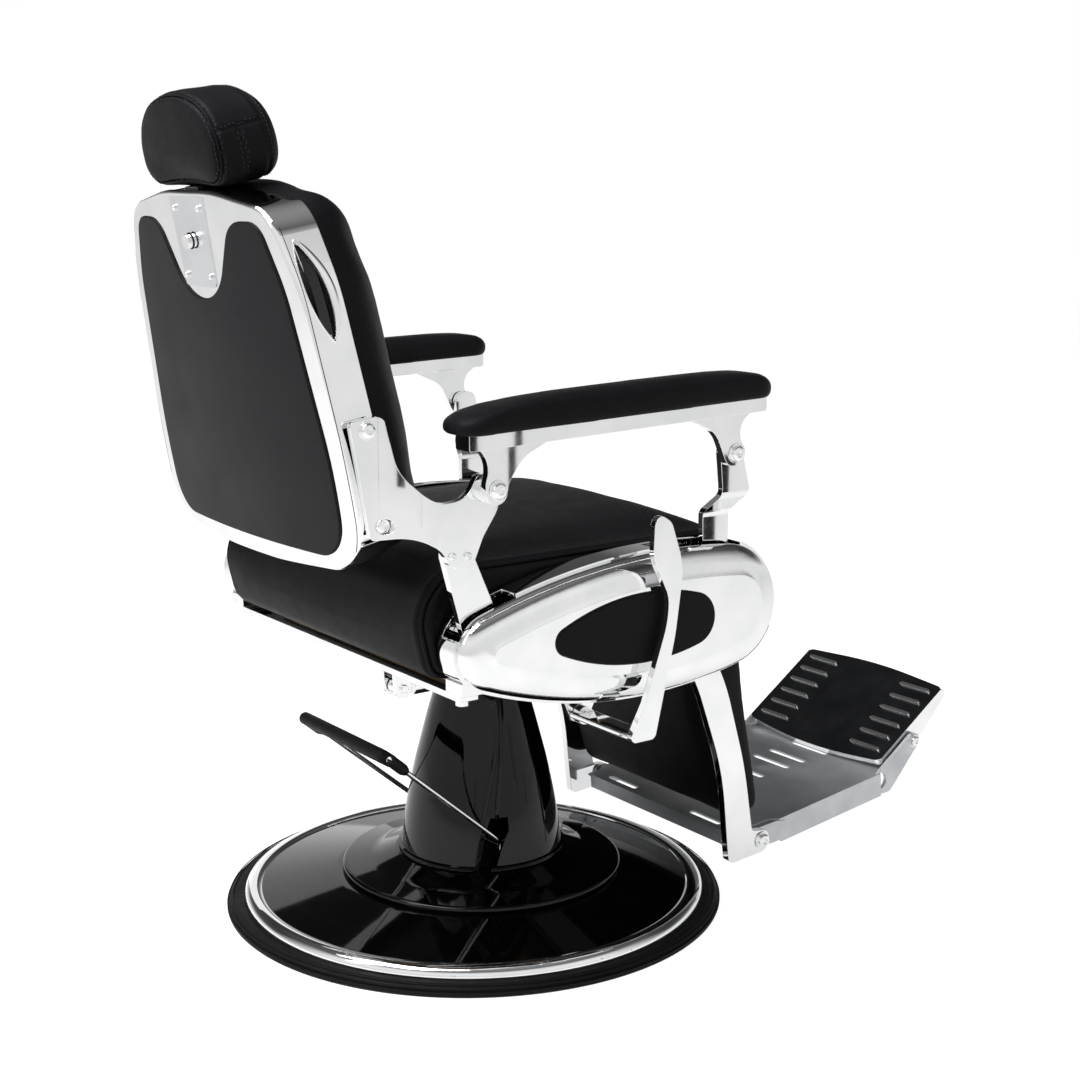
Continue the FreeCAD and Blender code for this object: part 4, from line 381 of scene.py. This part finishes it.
def setPositions(piece, points):
    piece.data.vertices.foreach_set("co", points.astype(np.float32).ravel())
    piece.data.update()


# Points round the hull of circles (across, up, radius), counterclockwise, about one per step
def beltPath(circles, step):
    count = len(circles)
    leaving = []
    for index in range(count):
        ax, ay, ar = circles[index]
        bx, by, br = circles[(index + 1) % count]
        leaving.append(math.atan2(by - ay, bx - ax) - math.acos((ar - br) / math.hypot(bx - ax, by - ay)))
    path = []
    for index, (x, y, radius) in enumerate(circles):
        start, end = leaving[index - 1], leaving[index]
        while end < start:
            end += 2 * math.pi
        while end > start + 2 * math.pi:
            end -= 2 * math.pi
        pieces = max(2, int((end - start) * radius / step))
        for k in range(pieces + 1):
            angle = start + (end - start) * k / pieces
            path.append((x + radius * math.cos(angle), y + radius * math.sin(angle)))
    return evenly(path, step)


# Points along straight runs with rounded corners (across, up, radius)
def cornerPath(corners, step):
    count = len(corners)
    path = []
    for index in range(count):
        mark = Vector(corners[index][:2])
        radius = corners[index][2] if len(corners[index]) > 2 else 0
        before = (Vector(corners[index - 1][:2]) - mark).normalized()
        after = (Vector(corners[(index + 1) % count][:2]) - mark).normalized()
        if radius == 0:
            path.append(tuple(mark))
            continue
        half = before.angle(after) / 2
        reach = radius / math.tan(half)
        middle = mark + (before + after).normalized() * (radius / math.sin(half))
        first, last = mark + before * reach - middle, mark + after * reach - middle
        turn = math.pi - 2 * half
        if first.x * last.y - first.y * last.x < 0:
            turn = -turn
        pieces = max(2, int(abs(turn) * radius / step))
        for k in range(pieces + 1):
            angle = math.atan2(first.y, first.x) + turn * k / pieces
            path.append((middle.x + radius * math.cos(angle), middle.y + radius * math.sin(angle)))
    return evenly(path, step)


def evenly(path, step, closed=True):
    points = [Vector(point) for point in path]
    if closed:
        points.append(points[0])
    lengths = [0.0]
    for a, b in zip(points, points[1:]):
        lengths.append(lengths[-1] + (b - a).length)
    count = max(3, int(lengths[-1] / step))
    marks = [lengths[-1] * k / count for k in range(count + (0 if closed else 1))]
    result = []
    index = 0
    for mark in marks:
        while index < len(lengths) - 2 and lengths[index + 1] < mark:
            index += 1
        span = lengths[index + 1] - lengths[index]
        share = 0 if span < 1e-9 else (mark - lengths[index]) / span
        result.append(tuple(points[index].lerp(points[index + 1], share)))
    return result


# A level ring of points round (0, middle)
def levelRing(reach, up, middle=0.0, count=180):
    turns = [2 * math.pi * k / count for k in range(count)]
    return [(reach * math.cos(turn), middle + reach * math.sin(turn), up) for turn in turns]


def fromShape(name, shape):
    mesh = bpy.data.meshes.new(name)
    shape.to_mesh(mesh)
    shape.free()
    mesh.shade_smooth()
    return bpy.data.objects.new(name, mesh)


# A skin through rings of points, closed across the rings that caps names
def skinned(name, rings, caps=()):
    shape = bmesh.new()
    loops = [[shape.verts.new(point) for point in ring] for ring in rings]
    for first, second in zip(loops, loops[1:]):
        for k in range(len(first)):
            after = (k + 1) % len(first)
            shape.faces.new((first[k], first[after], second[after], second[k]))
    for cap in caps:
        shape.faces.new(loops[cap])
    if caps:
        bmesh.ops.recalc_face_normals(shape, faces=shape.faces)
    return fromShape(name, shape)


def tube(name, points, radius, material, body, closed=True, sides=4, taper=None):
    curve = bpy.data.curves.new(name, "CURVE")
    curve.dimensions = "3D"
    curve.bevel_depth = radius
    curve.bevel_resolution = sides
    curve.use_fill_caps = True
    spline = curve.splines.new("POLY")
    spline.points.add(len(points) - 1)
    for index, (item, point) in enumerate(zip(spline.points, points)):
        item.co = (*point, 1)
        item.radius = taper[index] if taper else 1
    spline.use_cyclic_u = closed
    draft = bpy.data.objects.new(name + "Line", curve)
    bpy.context.scene.collection.objects.link(draft)
    bpy.context.view_layer.update()
    mesh = bpy.data.meshes.new_from_object(draft.evaluated_get(bpy.context.evaluated_depsgraph_get()))
    bpy.data.objects.remove(draft)
    mesh.shade_smooth()
    return place(bpy.data.objects.new(name, mesh), body, material)


# The back leans and its panel bulges: from the back's own upright frame (across, rearwards, up from its foot)
# to the chair's, and back again
backDesign = {"lean": 9.87, "footY": 0.3246, "footZ": 0.530, "bulge": 1.9}


def leaned(point):
    angle = math.radians(backDesign["lean"])
    across, rear, up = point
    return Vector((across, backDesign["footY"] + rear * math.cos(angle) + up * math.sin(angle),
                   backDesign["footZ"] - rear * math.sin(angle) + up * math.cos(angle)))


def inBack(points):
    angle = math.radians(backDesign["lean"])
    y = points[:, 1] - backDesign["footY"]
    z = points[:, 2] - backDesign["footZ"]
    return np.stack([points[:, 0], y * math.cos(angle) - z * math.sin(angle),
                     y * math.sin(angle) + z * math.cos(angle)], axis=1)


def bulgeAt(across):
    return math.sqrt(backDesign["bulge"] ** 2 - across ** 2) - backDesign["bulge"]


# Padded pieces start from their closed CAD form, are remeshed, blown up a little as cloth and smoothed
clothDesign = {"voxel": 0.005, "easing": 4, "pressure": 4.0, "stretch": 8, "shear": 4, "quality": 6, "frames": 20,
               "settling": 60}


# Takes the short wrinkles out of a displacement: each point shares it with its neighbours
def settled(piece, moved):
    ends = np.empty(len(piece.data.edges) * 2, np.int64)
    piece.data.edges.foreach_get("vertices", ends)
    first, second = ends.reshape(-1, 2).T
    count = np.maximum(np.bincount(ends, minlength=len(moved)), 1)[:, None]
    for _ in range(clothDesign["settling"]):
        shared = np.stack([np.bincount(first, moved[second, axis], len(moved))
                           + np.bincount(second, moved[first, axis], len(moved)) for axis in range(3)], axis=1)
        moved = 0.5 * moved + 0.5 * shared / count
    return moved


def stuffed(node, name, body, cap, held=None, voxel=None):
    scene = bpy.context.scene
    piece = bpy.data.objects.new(name, nodes[node].data.copy())
    scene.collection.objects.link(piece)
    remesh = piece.modifiers.new("remesh", "REMESH")
    remesh.mode = "VOXEL"
    remesh.voxel_size = voxel or clothDesign["voxel"]
    piece.modifiers.new("ease", "SMOOTH").iterations = clothDesign["easing"]
    baked(piece)
    rest = positions(piece)
    cloth = piece.modifiers.new("stuffing", "CLOTH")
    cloth.settings.quality = clothDesign["quality"]
    cloth.settings.use_pressure = True
    cloth.settings.uniform_pressure_force = clothDesign["pressure"]
    cloth.settings.effector_weights.gravity = 0
    cloth.settings.tension_stiffness = clothDesign["stretch"]
    cloth.settings.compression_stiffness = clothDesign["stretch"]
    cloth.settings.shear_stiffness = clothDesign["shear"]
    if held:
        group = piece.vertex_groups.new(name="held")
        group.add([int(i) for i in np.nonzero(held(rest))[0]], 1.0, "REPLACE")
        cloth.settings.vertex_group_mass = "held"
    cloth.point_cache.frame_end = clothDesign["frames"]
    for step in range(1, clothDesign["frames"] + 1):
        scene.frame_set(step)
    baked(piece)
    scene.frame_set(1)
    moved = settled(piece, positions(piece) - rest)
    reach = np.linalg.norm(moved, axis=1)
    print(name, "swells by up to", round(float(reach.max()) * 1000, 1), "mm, kept to", cap * 1000)
    limit = cap * np.tanh(reach / cap) / np.maximum(reach, 1e-9)
    setPositions(piece, rest + moved * limit[:, None])
    piece.modifiers.new("finer", "SUBSURF").levels = 1
    baked(piece)
    piece.data.shade_smooth()
    return place(piece, body, leather, [node])


# Presses a groove along paths, and lifts the cloth a little on both sides of it; reach and shoulder are in widths
grooveDesign = {"reach": 5, "shoulder": 2.4, "shoulderWide": 1.2, "puffing": 0.35}


def groove(piece, paths, depth, width):
    d = grooveDesign
    points = positions(piece)
    outward = normals(piece)
    marks = np.array([tuple(point) for path in paths for point in path])
    lookup = KDTree(len(marks))
    for index, mark in enumerate(marks):
        lookup.insert(mark, index)
    lookup.balance()
    margin = (d["reach"] + 1) * width
    near = np.all((points > marks.min(0) - margin) & (points < marks.max(0) + margin), axis=1)
    for index in np.nonzero(near)[0]:
        away = lookup.find(points[index])[2] / width
        if away < d["reach"]:
            puff = d["puffing"] * math.exp(-((away - d["shoulder"]) / d["shoulderWide"]) ** 2)
            points[index] += outward[index] * (-depth * math.exp(-away ** 2) + depth * puff)
    setPositions(piece, points)


def surfaceOf(piece):
    mesh = piece.data
    return BVHTree.FromPolygons([v.co for v in mesh.vertices], [p.vertices for p in mesh.polygons])


# Drops a path onto a piece; returns points and outward normals
def dropped(piece, path, surface=None):
    surface = surface or surfaceOf(piece)
    points, outward = [], []
    for point in path:
        spot, normal, _, _ = surface.find_nearest(Vector(point))
        points.append(spot)
        outward.append(normal)
    return points, outward


# A row of stitches beside a seam: small rounded bars that follow the surface
stitchDesign = {"pitch": 0.0052, "length": 0.0036, "radius": 0.00055, "sides": 8, "rounds": 5}


def stitches(name, piece, paths, offset, body, closed=True):
    d = stitchDesign
    surface = surfaceOf(piece)
    shape = bmesh.new()
    stretched = Matrix.Diagonal((d["length"] / d["radius"] / 2, 1, 1, 1))
    for path in paths:
        points, outward = dropped(piece, evenly(path, d["pitch"], closed), surface)
        count = len(points)
        for index in range(count if closed else count - 1):
            ahead = points[(index + 1) % count] - points[index - 1 if (closed or index) else 0]
            if ahead.length < 1e-6:
                continue
            ahead.normalize()
            side = outward[index].cross(ahead).normalized()
            spot, normal, _, _ = surface.find_nearest(points[index] + side * offset)
            turn = Matrix((ahead, normal.cross(ahead).normalized(), normal)).transposed().to_4x4()
            where = Matrix.Translation(spot + normal * d["radius"] * 0.5) @ turn
            bmesh.ops.create_uvsphere(shape, u_segments=d["sides"], v_segments=d["rounds"], radius=d["radius"],
                                      matrix=where @ stretched)
    return place(fromShape(name, shape), body, thread)


# Seat: a rolled rear, a crowned top and piped side seams. circles (Y, Z, radius) give its outline from the side
seatDesign = {"cap": 0.009, "heldBelow": 0.408, "heldBeyond": 0.2525, "widest": 0.2575, "lowest": 0.3975,
              "circles": [(-0.219, 0.424, 0.020), (-0.178, 0.417, 0.020), (0.205, 0.425, 0.028), (0.178, 0.469, 0.065),
                          (-0.205, 0.496, 0.038)],
              "pipingX": 0.2485, "pipingIn": 0.003, "pipingStep": 0.004, "pipingRadius": 0.0026,
              "seamDepth": 0.003, "seamWidth": 0.004}


def makeSeat():
    d = seatDesign
    seat = stuffed("seat_cushion", "seatCushion", "chassis", d["cap"],
                   held=lambda p: (p[:, 2] < d["heldBelow"]) | (np.abs(p[:, 0]) > d["heldBeyond"]))
    points = positions(seat)
    points[:, 0] = np.clip(points[:, 0], -d["widest"], d["widest"])
    points[:, 2] = np.maximum(points[:, 2], d["lowest"])
    setPositions(seat, points)
    profile = beltPath([(y, z, radius - d["pipingIn"]) for y, z, radius in d["circles"]], d["pipingStep"])
    for side, word in bothSides:
        spots, _ = dropped(seat, [(side * d["pipingX"], y, z) for y, z in profile])
        groove(seat, [spots], d["seamDepth"], d["seamWidth"])
        tube("seatPiping" + word, spots, d["pipingRadius"], leather, "chassis")


# Back cushion: its top is raised along the lean, over the stretch from raiseFrom up
backCushionDesign = {"cap": 0.012, "heldBehind": -0.064, "raise": 0.008, "raiseFrom": 0.10, "raiseOver": 0.33}


def makeBackCushion():
    d = backCushionDesign
    cushion = stuffed("back_cushion", "backCushion", "backrest", d["cap"],
                      held=lambda p: inBack(p)[:, 1] > d["heldBehind"])
    points = positions(cushion)
    share = np.clip((inBack(points)[:, 2] - d["raiseFrom"]) / d["raiseOver"], 0, 1)
    raised = d["raise"] * share * share * (3 - 2 * share)
    lean = math.radians(backDesign["lean"])
    setPositions(cushion, points + raised[:, None] * np.array([0, math.sin(lean), math.cos(lean)]))


# Headrest: outline in the back's frame, and its seams. rear, front and side seams lie that far forward of the shell
headrestDesign = {"cap": 0.006, "voxel": 0.004, "half": 0.101, "foot": 0.446, "tall": 0.107, "step": 0.003,
                  "footRadius": 0.032, "shoulderDrop": 0.0269, "shoulderRadius": 0.061, "crownRise": 0.0107,
                  "crownRadius": 0.175, "rear": -0.004, "rearOut": 0.001, "front": -0.068,
                  "crossSeam": 0.511, "crossFrom": -0.006, "crossRise": 0.0001, "sideSeam": -0.036, "sideUp": 0.004,
                  "seamFrom": 0.106, "seamStep": 0.001, "crossMarks": 61, "sideMarks": 60,
                  "rearGroove": (0.0022, 0.0028), "frontGroove": (0.0012, 0.0025), "sideGroove": (0.0016, 0.0022),
                  "welt": 0.0015, "edgeStitches": 0.0045, "sideStitches": 0.004}


def headrestEdge(inset):
    d = headrestDesign
    head = d["tall"] + d["foot"]
    corners = [(-d["half"], d["foot"], d["footRadius"]), (d["half"], d["foot"], d["footRadius"]),
               (d["half"], head - d["shoulderDrop"], d["shoulderRadius"]), (0, head + d["crownRise"], d["crownRadius"]),
               (-d["half"], head - d["shoulderDrop"], d["shoulderRadius"])]
    middle = Vector((0, (d["foot"] + head) / 2))
    spots = [Vector(point) for point in cornerPath(corners, d["step"])]
    return [tuple(spot + (middle - spot).normalized() * inset) for spot in spots]


def makeHeadrest():
    d = headrestDesign
    headrest = stuffed("headrest_cushion", "headrestCushion", "headrest", d["cap"], voxel=d["voxel"])
    rear, _ = dropped(headrest, [leaned((x, d["rear"], z)) for x, z in headrestEdge(-d["rearOut"])])
    front, _ = dropped(headrest, [leaned((x, d["front"], z)) for x, z in headrestEdge(0)])
    cross, upright = [], []
    for side, _ in bothSides:
        across = side * d["seamFrom"]
        run = [leaned((across, d["crossFrom"] - d["seamStep"] * k, d["crossSeam"] + d["crossRise"] * k))
               for k in range(d["crossMarks"])]
        cross.append(dropped(headrest, run)[0])
        run = [leaned((across, d["sideSeam"], d["foot"] + d["sideUp"] + d["seamStep"] * k))
               for k in range(d["sideMarks"])]
        upright.append(dropped(headrest, run)[0])
    groove(headrest, [rear], *d["rearGroove"])
    tube("headrestRearWelt", rear, d["welt"], leather, "headrest")
    groove(headrest, [front], *d["frontGroove"])
    groove(headrest, cross + upright, *d["sideGroove"])
    edge, beside = d["edgeStitches"], d["sideStitches"]
    rows = [("headrestRearStitches", [rear], edge, True), ("headrestRearStitchesOuter", [rear], -edge, True),
            ("headrestFrontStitches", [front], edge, True), ("headrestCrossStitches", cross, beside, False),
            ("headrestSideStitches", upright, beside, False), ("headrestSideStitchesRear", upright, -beside, False)]
    for name, paths, offset, closed in rows:
        stitches(name, headrest, paths, offset, "headrest", closed)


# Arm pads stay down on their plates, which slope a little towards the rear
armPadDesign = {"cap": 0.005, "voxel": 0.004, "plateUp": 0.7035, "slope": 0.028, "heldRise": 0.004}
calfPadDesign = {"cap": 0.006}


def makeArmPads():
    d = armPadDesign
    for word in ("left", "right"):
        stuffed("arm_pad_" + word, "armPad" + word.capitalize(), "arm_" + word, d["cap"], voxel=d["voxel"],
                held=lambda p: p[:, 2] < d["plateUp"] - p[:, 1] * d["slope"] + d["heldRise"])


def makeCalfPad():
    stuffed("calf_pad", "calfPad", "legrest", calfPadDesign["cap"])


makeSeat()
makeBackCushion()
makeHeadrest()
makeArmPads()
makeCalfPad()
print("cushions ready")


# Rubber bead round the rear panel: the corners of its right half from the foot up, then the top's middle
panelHalf = [(0.212, 0.019, 0.048), (0.218, 0.120, 0.500), (0.187, 0.330, 0.200), (0.157, 0.406, 0.030),
             (0.0958, 0.406, 0.042)]
beadDesign = {"corners": panelHalf + [(0, 0.240, 0.072)] + [(-x, z, radius) for x, z, radius in reversed(panelHalf)],
              "step": 0.004, "radius": 0.0015, "proud": 0.0008}


def makePanelBead():
    d = beadDesign
    path = [leaned((x, bulgeAt(x) + d["proud"], z)) for x, z in cornerPath(d["corners"], d["step"])]
    tube("backPanelBead", path, d["radius"], rubber, "backrest")


# Button-head bolts: a washer, a domed head and a hexagon socket. bolts gives (X, Y, Z, radius) at the middle of
# each solid head's outer face, on the left; washer, socket and dome are in radii
boltDesign = {"stand": 0.004, "washer": 1.3, "washerThick": 0.0012, "socket": 0.48, "socketFloor": 0.03, "sides": 36,
              "dome": [(1.03, -0.33), (1.03, 0.02), (0.99, 0.13), (0.88, 0.24), (0.72, 0.31), (0.55, 0.34)],
              "sharp": 35,
              "bolts": {"backrest": [(0.2584, 0.309, 0.704, 0.0085), (0.2584, 0.293, 0.594, 0.0085),
                                     (0.3208, 0.175, 0.631, 0.0095), (0.2985, 0.225, 0.557, 0.0042),
                                     (0.2985, 0.204, 0.5555, 0.0042)],
                        "post": [(0.3208, -0.186, 0.641, 0.0095)],
                        "legrest": [(0.195, -0.364, 0.053, 0.0095)],
                        "footplate": [(0.1585, -0.709, 0.126, 0.0075)]}}


def makeBolt(name, spot, outward, radius, body):
    d = boltDesign
    washerTop = -d["stand"] + d["washerThick"]
    outline = [(d["washer"] * radius, -d["stand"]), (d["washer"] * radius, washerTop),
               (d["dome"][0][0] * radius, washerTop)]
    outline += [(share * radius, rise * radius) for share, rise in d["dome"]]
    rings = [levelRing(reach, rise, count=d["sides"]) for reach, rise in outline]
    for rise in (d["dome"][-1][1] * radius, d["socketFloor"] * radius):
        ring = []
        for k in range(d["sides"]):
            turn = 2 * math.pi * k / d["sides"]
            reach = d["socket"] * radius * math.cos(math.pi / 6) / math.cos(turn % (math.pi / 3) - math.pi / 6)
            ring.append((reach * math.cos(turn), reach * math.sin(turn), rise))
        rings.append(ring)
    bolt = skinned(name, rings, caps=[-1])
    turned = Vector(outward).to_track_quat("Z", "Y").to_matrix().to_4x4()
    bolt.data.transform(Matrix.Translation(Vector(spot)) @ turned)
    bolt.data.set_sharp_from_angle(angle=math.radians(d["sharp"]))
    place(bolt, body, chrome)


def makeBolts():
    for body, bolts in boltDesign["bolts"].items():
        for number, (across, along, up, radius) in enumerate(bolts, start=1):
            for side, word in bothSides:
                ridden = "post_" + word.lower() if body == "post" else body
                makeBolt("%sBolt%d%s" % (body, number, word), (side * across, along, up), (side, 0, 0), radius, ridden)


# Each hand hold has a thin lip all round, a wide rolled crescent on its front side and a bright edge within. Behind it
# a thin dark rubber line, sunk into the shell's side, is painted shade along the pressed fold there. grown is metres
# beyond the opening, and sunk is metres inwards
handHold = {"middle": (-0.0335, 0.326), "tall": 0.116, "wide": 0.027, "wideGrown": 0.8, "turn": 6.4, "marks": 12,
            "lip": 0.0011, "lipStep": 0.002,
            "crescent": {"radius": 0.0060, "grown": 0.0055, "sunk": 0.0030, "thinnest": 0.25},
            "edge": {"radius": 0.0009, "grown": 0.002, "sunk": 0.005},
            "line": {"radius": 0.0006, "along": -0.0165, "foot": 0.030, "head": 0.400, "marks": 60, "sunkRadii": 0.6},
            "castFrom": 0.30, "sideBeyond": 0.12, "sideFacing": 0.2}


def lensArc(grown, sign):
    d = handHold
    tall, wide = d["tall"] / 2 + grown, d["wide"] / 2 + grown * d["wideGrown"]
    radius = (tall * tall + wide * wide) / (2 * wide)
    turn = math.radians(d["turn"])
    half = math.asin(tall / radius)
    arc = []
    for k in range(2 * d["marks"] + 1):
        angle = half * (k / d["marks"] - 1) * sign
        w, v = sign * (radius * math.cos(angle) - radius + wide), radius * math.sin(angle)
        arc.append((d["middle"][0] + w * math.cos(turn) + v * math.sin(turn),
                    d["middle"][1] - w * math.sin(turn) + v * math.cos(turn)))
    return arc


def makeHandHolds():
    d = handHold
    crescent, edge, line = d["crescent"], d["edge"], d["line"]
    shell = surfaceOf(nodes["back_shell"])

    def onSide(side, path, proud):
        spots = []
        for w, v in path:
            hit, normal, _, _ = shell.ray_cast(leaned((side * d["castFrom"], w, v)), Vector((-side, 0, 0)))
            if hit and hit.x * side > d["sideBeyond"] and abs(normal.x) > d["sideFacing"]:
                spots.append(hit + Vector((side * proud, 0, 0)))
        return spots

    for side, word in bothSides:
        ring = onSide(side, evenly(lensArc(d["lip"], 1) + lensArc(d["lip"], -1), d["lipStep"]), 0)
        tube("handHoldLip" + word, ring, d["lip"], chrome, "backrest")
        front = onSide(side, lensArc(crescent["grown"], -1), -crescent["sunk"])
        taper = [crescent["thinnest"] + (1 - crescent["thinnest"]) * math.sin(math.pi * (k + 0.5) / len(front))
                 for k in range(len(front))]
        tube("handHoldCrescent" + word, front, crescent["radius"], chrome, "backrest",
             closed=False, sides=6, taper=taper)
        arc = lensArc(edge["grown"], -1)
        ends = [onSide(side, [arc[k]], 0)[0] - Vector((side * edge["sunk"], 0, 0)) for k in (0, -1)]
        path = [ends[0].lerp(ends[1], k / d["marks"]) for k in range(d["marks"] + 1)]
        tube("handHoldEdge" + word, path, edge["radius"], chrome, "backrest", closed=False)
        # painted shade: a thin dark rubber thread along the shell's pressed fold behind the hand hold
        rise = line["head"] - line["foot"]
        path = [(line["along"], line["foot"] + rise * k / line["marks"]) for k in range(line["marks"] + 1)]
        tube("backShellLine" + word, onSide(side, path, -line["radius"] * line["sunkRadii"]), line["radius"], rubber,
             "backrest", closed=False, sides=2)


# A thin dark rubber ring round the headrest's release button is painted shade, standing for the shadowed hollow round
# the button; then the four screws of its plate
buttonShadeRingDesign = {"reach": 0.0092, "proud": 0.0042, "up": 0.383, "radius": 0.0009, "sides": 32,
                "screwsAcross": (-0.0315, 0.0315), "screwsUp": (0.341, 0.421), "screwProud": 0.0037, "screw": 0.0034}


def makeButtonShadeRingAndScrews():
    d = buttonShadeRingDesign
    turns = [2 * math.pi * k / d["sides"] for k in range(d["sides"])]
    # painted shade: this dark ring stands for the shadowed hollow round the button
    ring = [leaned((d["reach"] * math.cos(turn), d["proud"], d["up"] + d["reach"] * math.sin(turn))) for turn in turns]
    tube("headrestButtonCollar", ring, d["radius"], rubber, "backrest")
    for across in d["screwsAcross"]:
        for up in d["screwsUp"]:
            spot = leaned((across, d["screwProud"], up))
            outward = leaned((across, d["screwProud"] + 0.1, up)) - spot
            makeBolt("plateScrew%s%d" % ("Left" if across > 0 else "Right", int(up * 1000)), spot, outward, d["screw"],
                     "backrest")


# The pedal's grip: an oval moulded sleeve with rounded ends, and a short sleeve down each rod
gripDesign = {"half": 0.1065, "middle": (0.199, 0.259), "slope": (6.0, 4.4), "flat": 0.0074, "radius": 0.0085,
              "round": 0.007, "roundSteps": 6, "sides": 32, "sleeve": 0.0078, "sleeveLong": 0.034, "sleeveSteps": 12,
              "sleeveIn": 0.02, "sleeveEnd": (0.94, 0.82, 0.66), "rodFoot": (0.091, 0.018, 0.1045),
              "rodHead": (0.108, 0.199, 0.259)}


def makeGrip():
    d = gripDesign
    turn = math.atan2(d["slope"][1], d["slope"][0])
    stations = []
    for k in range(d["roundSteps"] + 1):
        rounding = k * math.pi / 2 / d["roundSteps"]
        stations.append((-d["half"] + d["round"] * (1 - math.cos(rounding)), math.sin(rounding)))
    rings = []
    for across, share in stations + [(-x, share) for x, share in reversed(stations)]:
        grown = d["radius"] - d["round"] * (1 - share)
        ring = []
        for k in range(d["sides"]):
            angle = 2 * math.pi * k / d["sides"]
            along = grown * math.cos(angle) + (d["flat"] if math.cos(angle) >= 0 else -d["flat"])
            over = grown * math.sin(angle)
            ring.append((across, d["middle"][0] + along * math.cos(turn) - over * math.sin(turn),
                         d["middle"][1] + along * math.sin(turn) + over * math.cos(turn)))
        rings.append(ring)
    place(skinned("pedalGripSleeve", rings, caps=[0, -1]), "pedal", rubber)
    count = d["sleeveSteps"] + 1
    taper = [1] * (count - len(d["sleeveEnd"])) + list(d["sleeveEnd"])
    for side, word in bothSides:
        foot, head = (Vector((side * x, y, z)) for x, y, z in (d["rodFoot"], d["rodHead"]))
        step = (foot - head).normalized() * d["sleeveLong"]
        points = [head + step * (k / d["sleeveSteps"] - d["sleeveIn"]) for k in range(count)]
        tube("pedalRodSleeve" + word, points, d["sleeve"], rubber, "pedal", closed=False, sides=6,
             taper=taper)


# Plated band over the edge of the base dish, its profile (reach, up) from the inside out, and the rolled edge of
# the pump cover's foot. The pump stands a little in front of the dish's middle
bandDesign = {"profile": [(0.2925, 0.0246), (0.2945, 0.0266), (0.299, 0.0279), (0.305, 0.0279), (0.3105, 0.0264),
                          (0.3145, 0.0232), (0.3165, 0.019), (0.317, 0.0155)],
              "rollReach": 0.1878, "rollUp": 0.0476, "rollRadius": 0.0048, "pumpY": -0.012}


def makeBaseBand():
    d = bandDesign
    band = skinned("baseRimBand", [levelRing(reach, up) for reach, up in reversed(d["profile"])])
    place(band, "base", chrome)
    tube("coverFlangeRoll", levelRing(d["rollReach"], d["rollUp"], d["pumpY"]), d["rollRadius"], enamel, "base",
         sides=6)


# Two pressed folds run down the pump cover to each pedal slot. turns are degrees round the pump, at four heights
coverFolds = {"radius": 0.0034, "sunk": 0.0012, "foot": 0.078, "head": 0.330, "steps": 40, "castFrom": 0.2,
              "turns": [(140, 150, 163, 168), (155, 159, 167, 171)],
              "footTaper": (0.35, 2.2), "headTaper": (0.25, 1.6)}


def makeCoverFolds():
    d = coverFolds
    cover = surfaceOf(nodes["pump_cover"])
    for side, word in reversed(bothSides):
        for number, turns in enumerate(d["turns"], start=1):
            points, taper = [], []
            for k in range(d["steps"] + 1):
                share = k / d["steps"]
                index = min(len(turns) - 2, int(share * (len(turns) - 1)))
                turn = turns[index] + (turns[index + 1] - turns[index]) * (share * (len(turns) - 1) - index)
                angle = math.radians(turn if side < 0 else 180 - turn)
                up = d["foot"] + (d["head"] - d["foot"]) * share
                away = Vector((math.cos(angle), math.sin(angle), 0))
                hit = cover.ray_cast(Vector((0, bandDesign["pumpY"], up)) + away * d["castFrom"], -away)[0]
                if hit:
                    points.append(hit - away * d["sunk"])
                    taper.append(min(1, d["footTaper"][0] + d["footTaper"][1] * share,
                                     d["headTaper"][0] + d["headTaper"][1] * (1 - share)))
            tube("coverFold%d%s" % (number, word), points, d["radius"], enamel, "base",
                 closed=False, sides=5, taper=taper)


# Fine ribs (reach, up) round the rubber ring's edge
ringRibs = {"radius": 0.0007, "rings": [(0.3398, 0.0035), (0.3398, 0.0065), (0.3375, 0.0115), (0.3325, 0.0135)]}


def makeRingRibs():
    for number, (reach, up) in enumerate(ringRibs["rings"], start=1):
        tube("baseRingRib%d" % number, levelRing(reach, up), ringRibs["radius"], rubber, "base",
             sides=2)


# The flip plate's raised ribs and turned edges are polished bright: faces proud of its plane, or across it
flipDesign = {"foot": (-0.644, 0.104), "slope": 34.8, "proud": 0.0004, "across": 0.4}


def polishFlipPlate():
    d = flipDesign
    slope = math.radians(d["slope"])
    upward = Vector((0, math.sin(slope), math.cos(slope)))
    foot = Vector((0, *d["foot"]))
    mesh = nodes["flip_plate"].data
    mesh.materials.append(chrome)
    for face in mesh.polygons:
        if (face.center - foot).dot(upward) > d["proud"] or abs(face.normal.dot(upward)) < d["across"]:
            face.material_index = len(mesh.materials) - 1


makePanelBead()
makeBolts()
makeHandHolds()
makeButtonShadeRingAndScrews()
makeGrip()
makeBaseBand()
makeCoverFolds()
makeRingRibs()
polishFlipPlate()
print("trim ready")
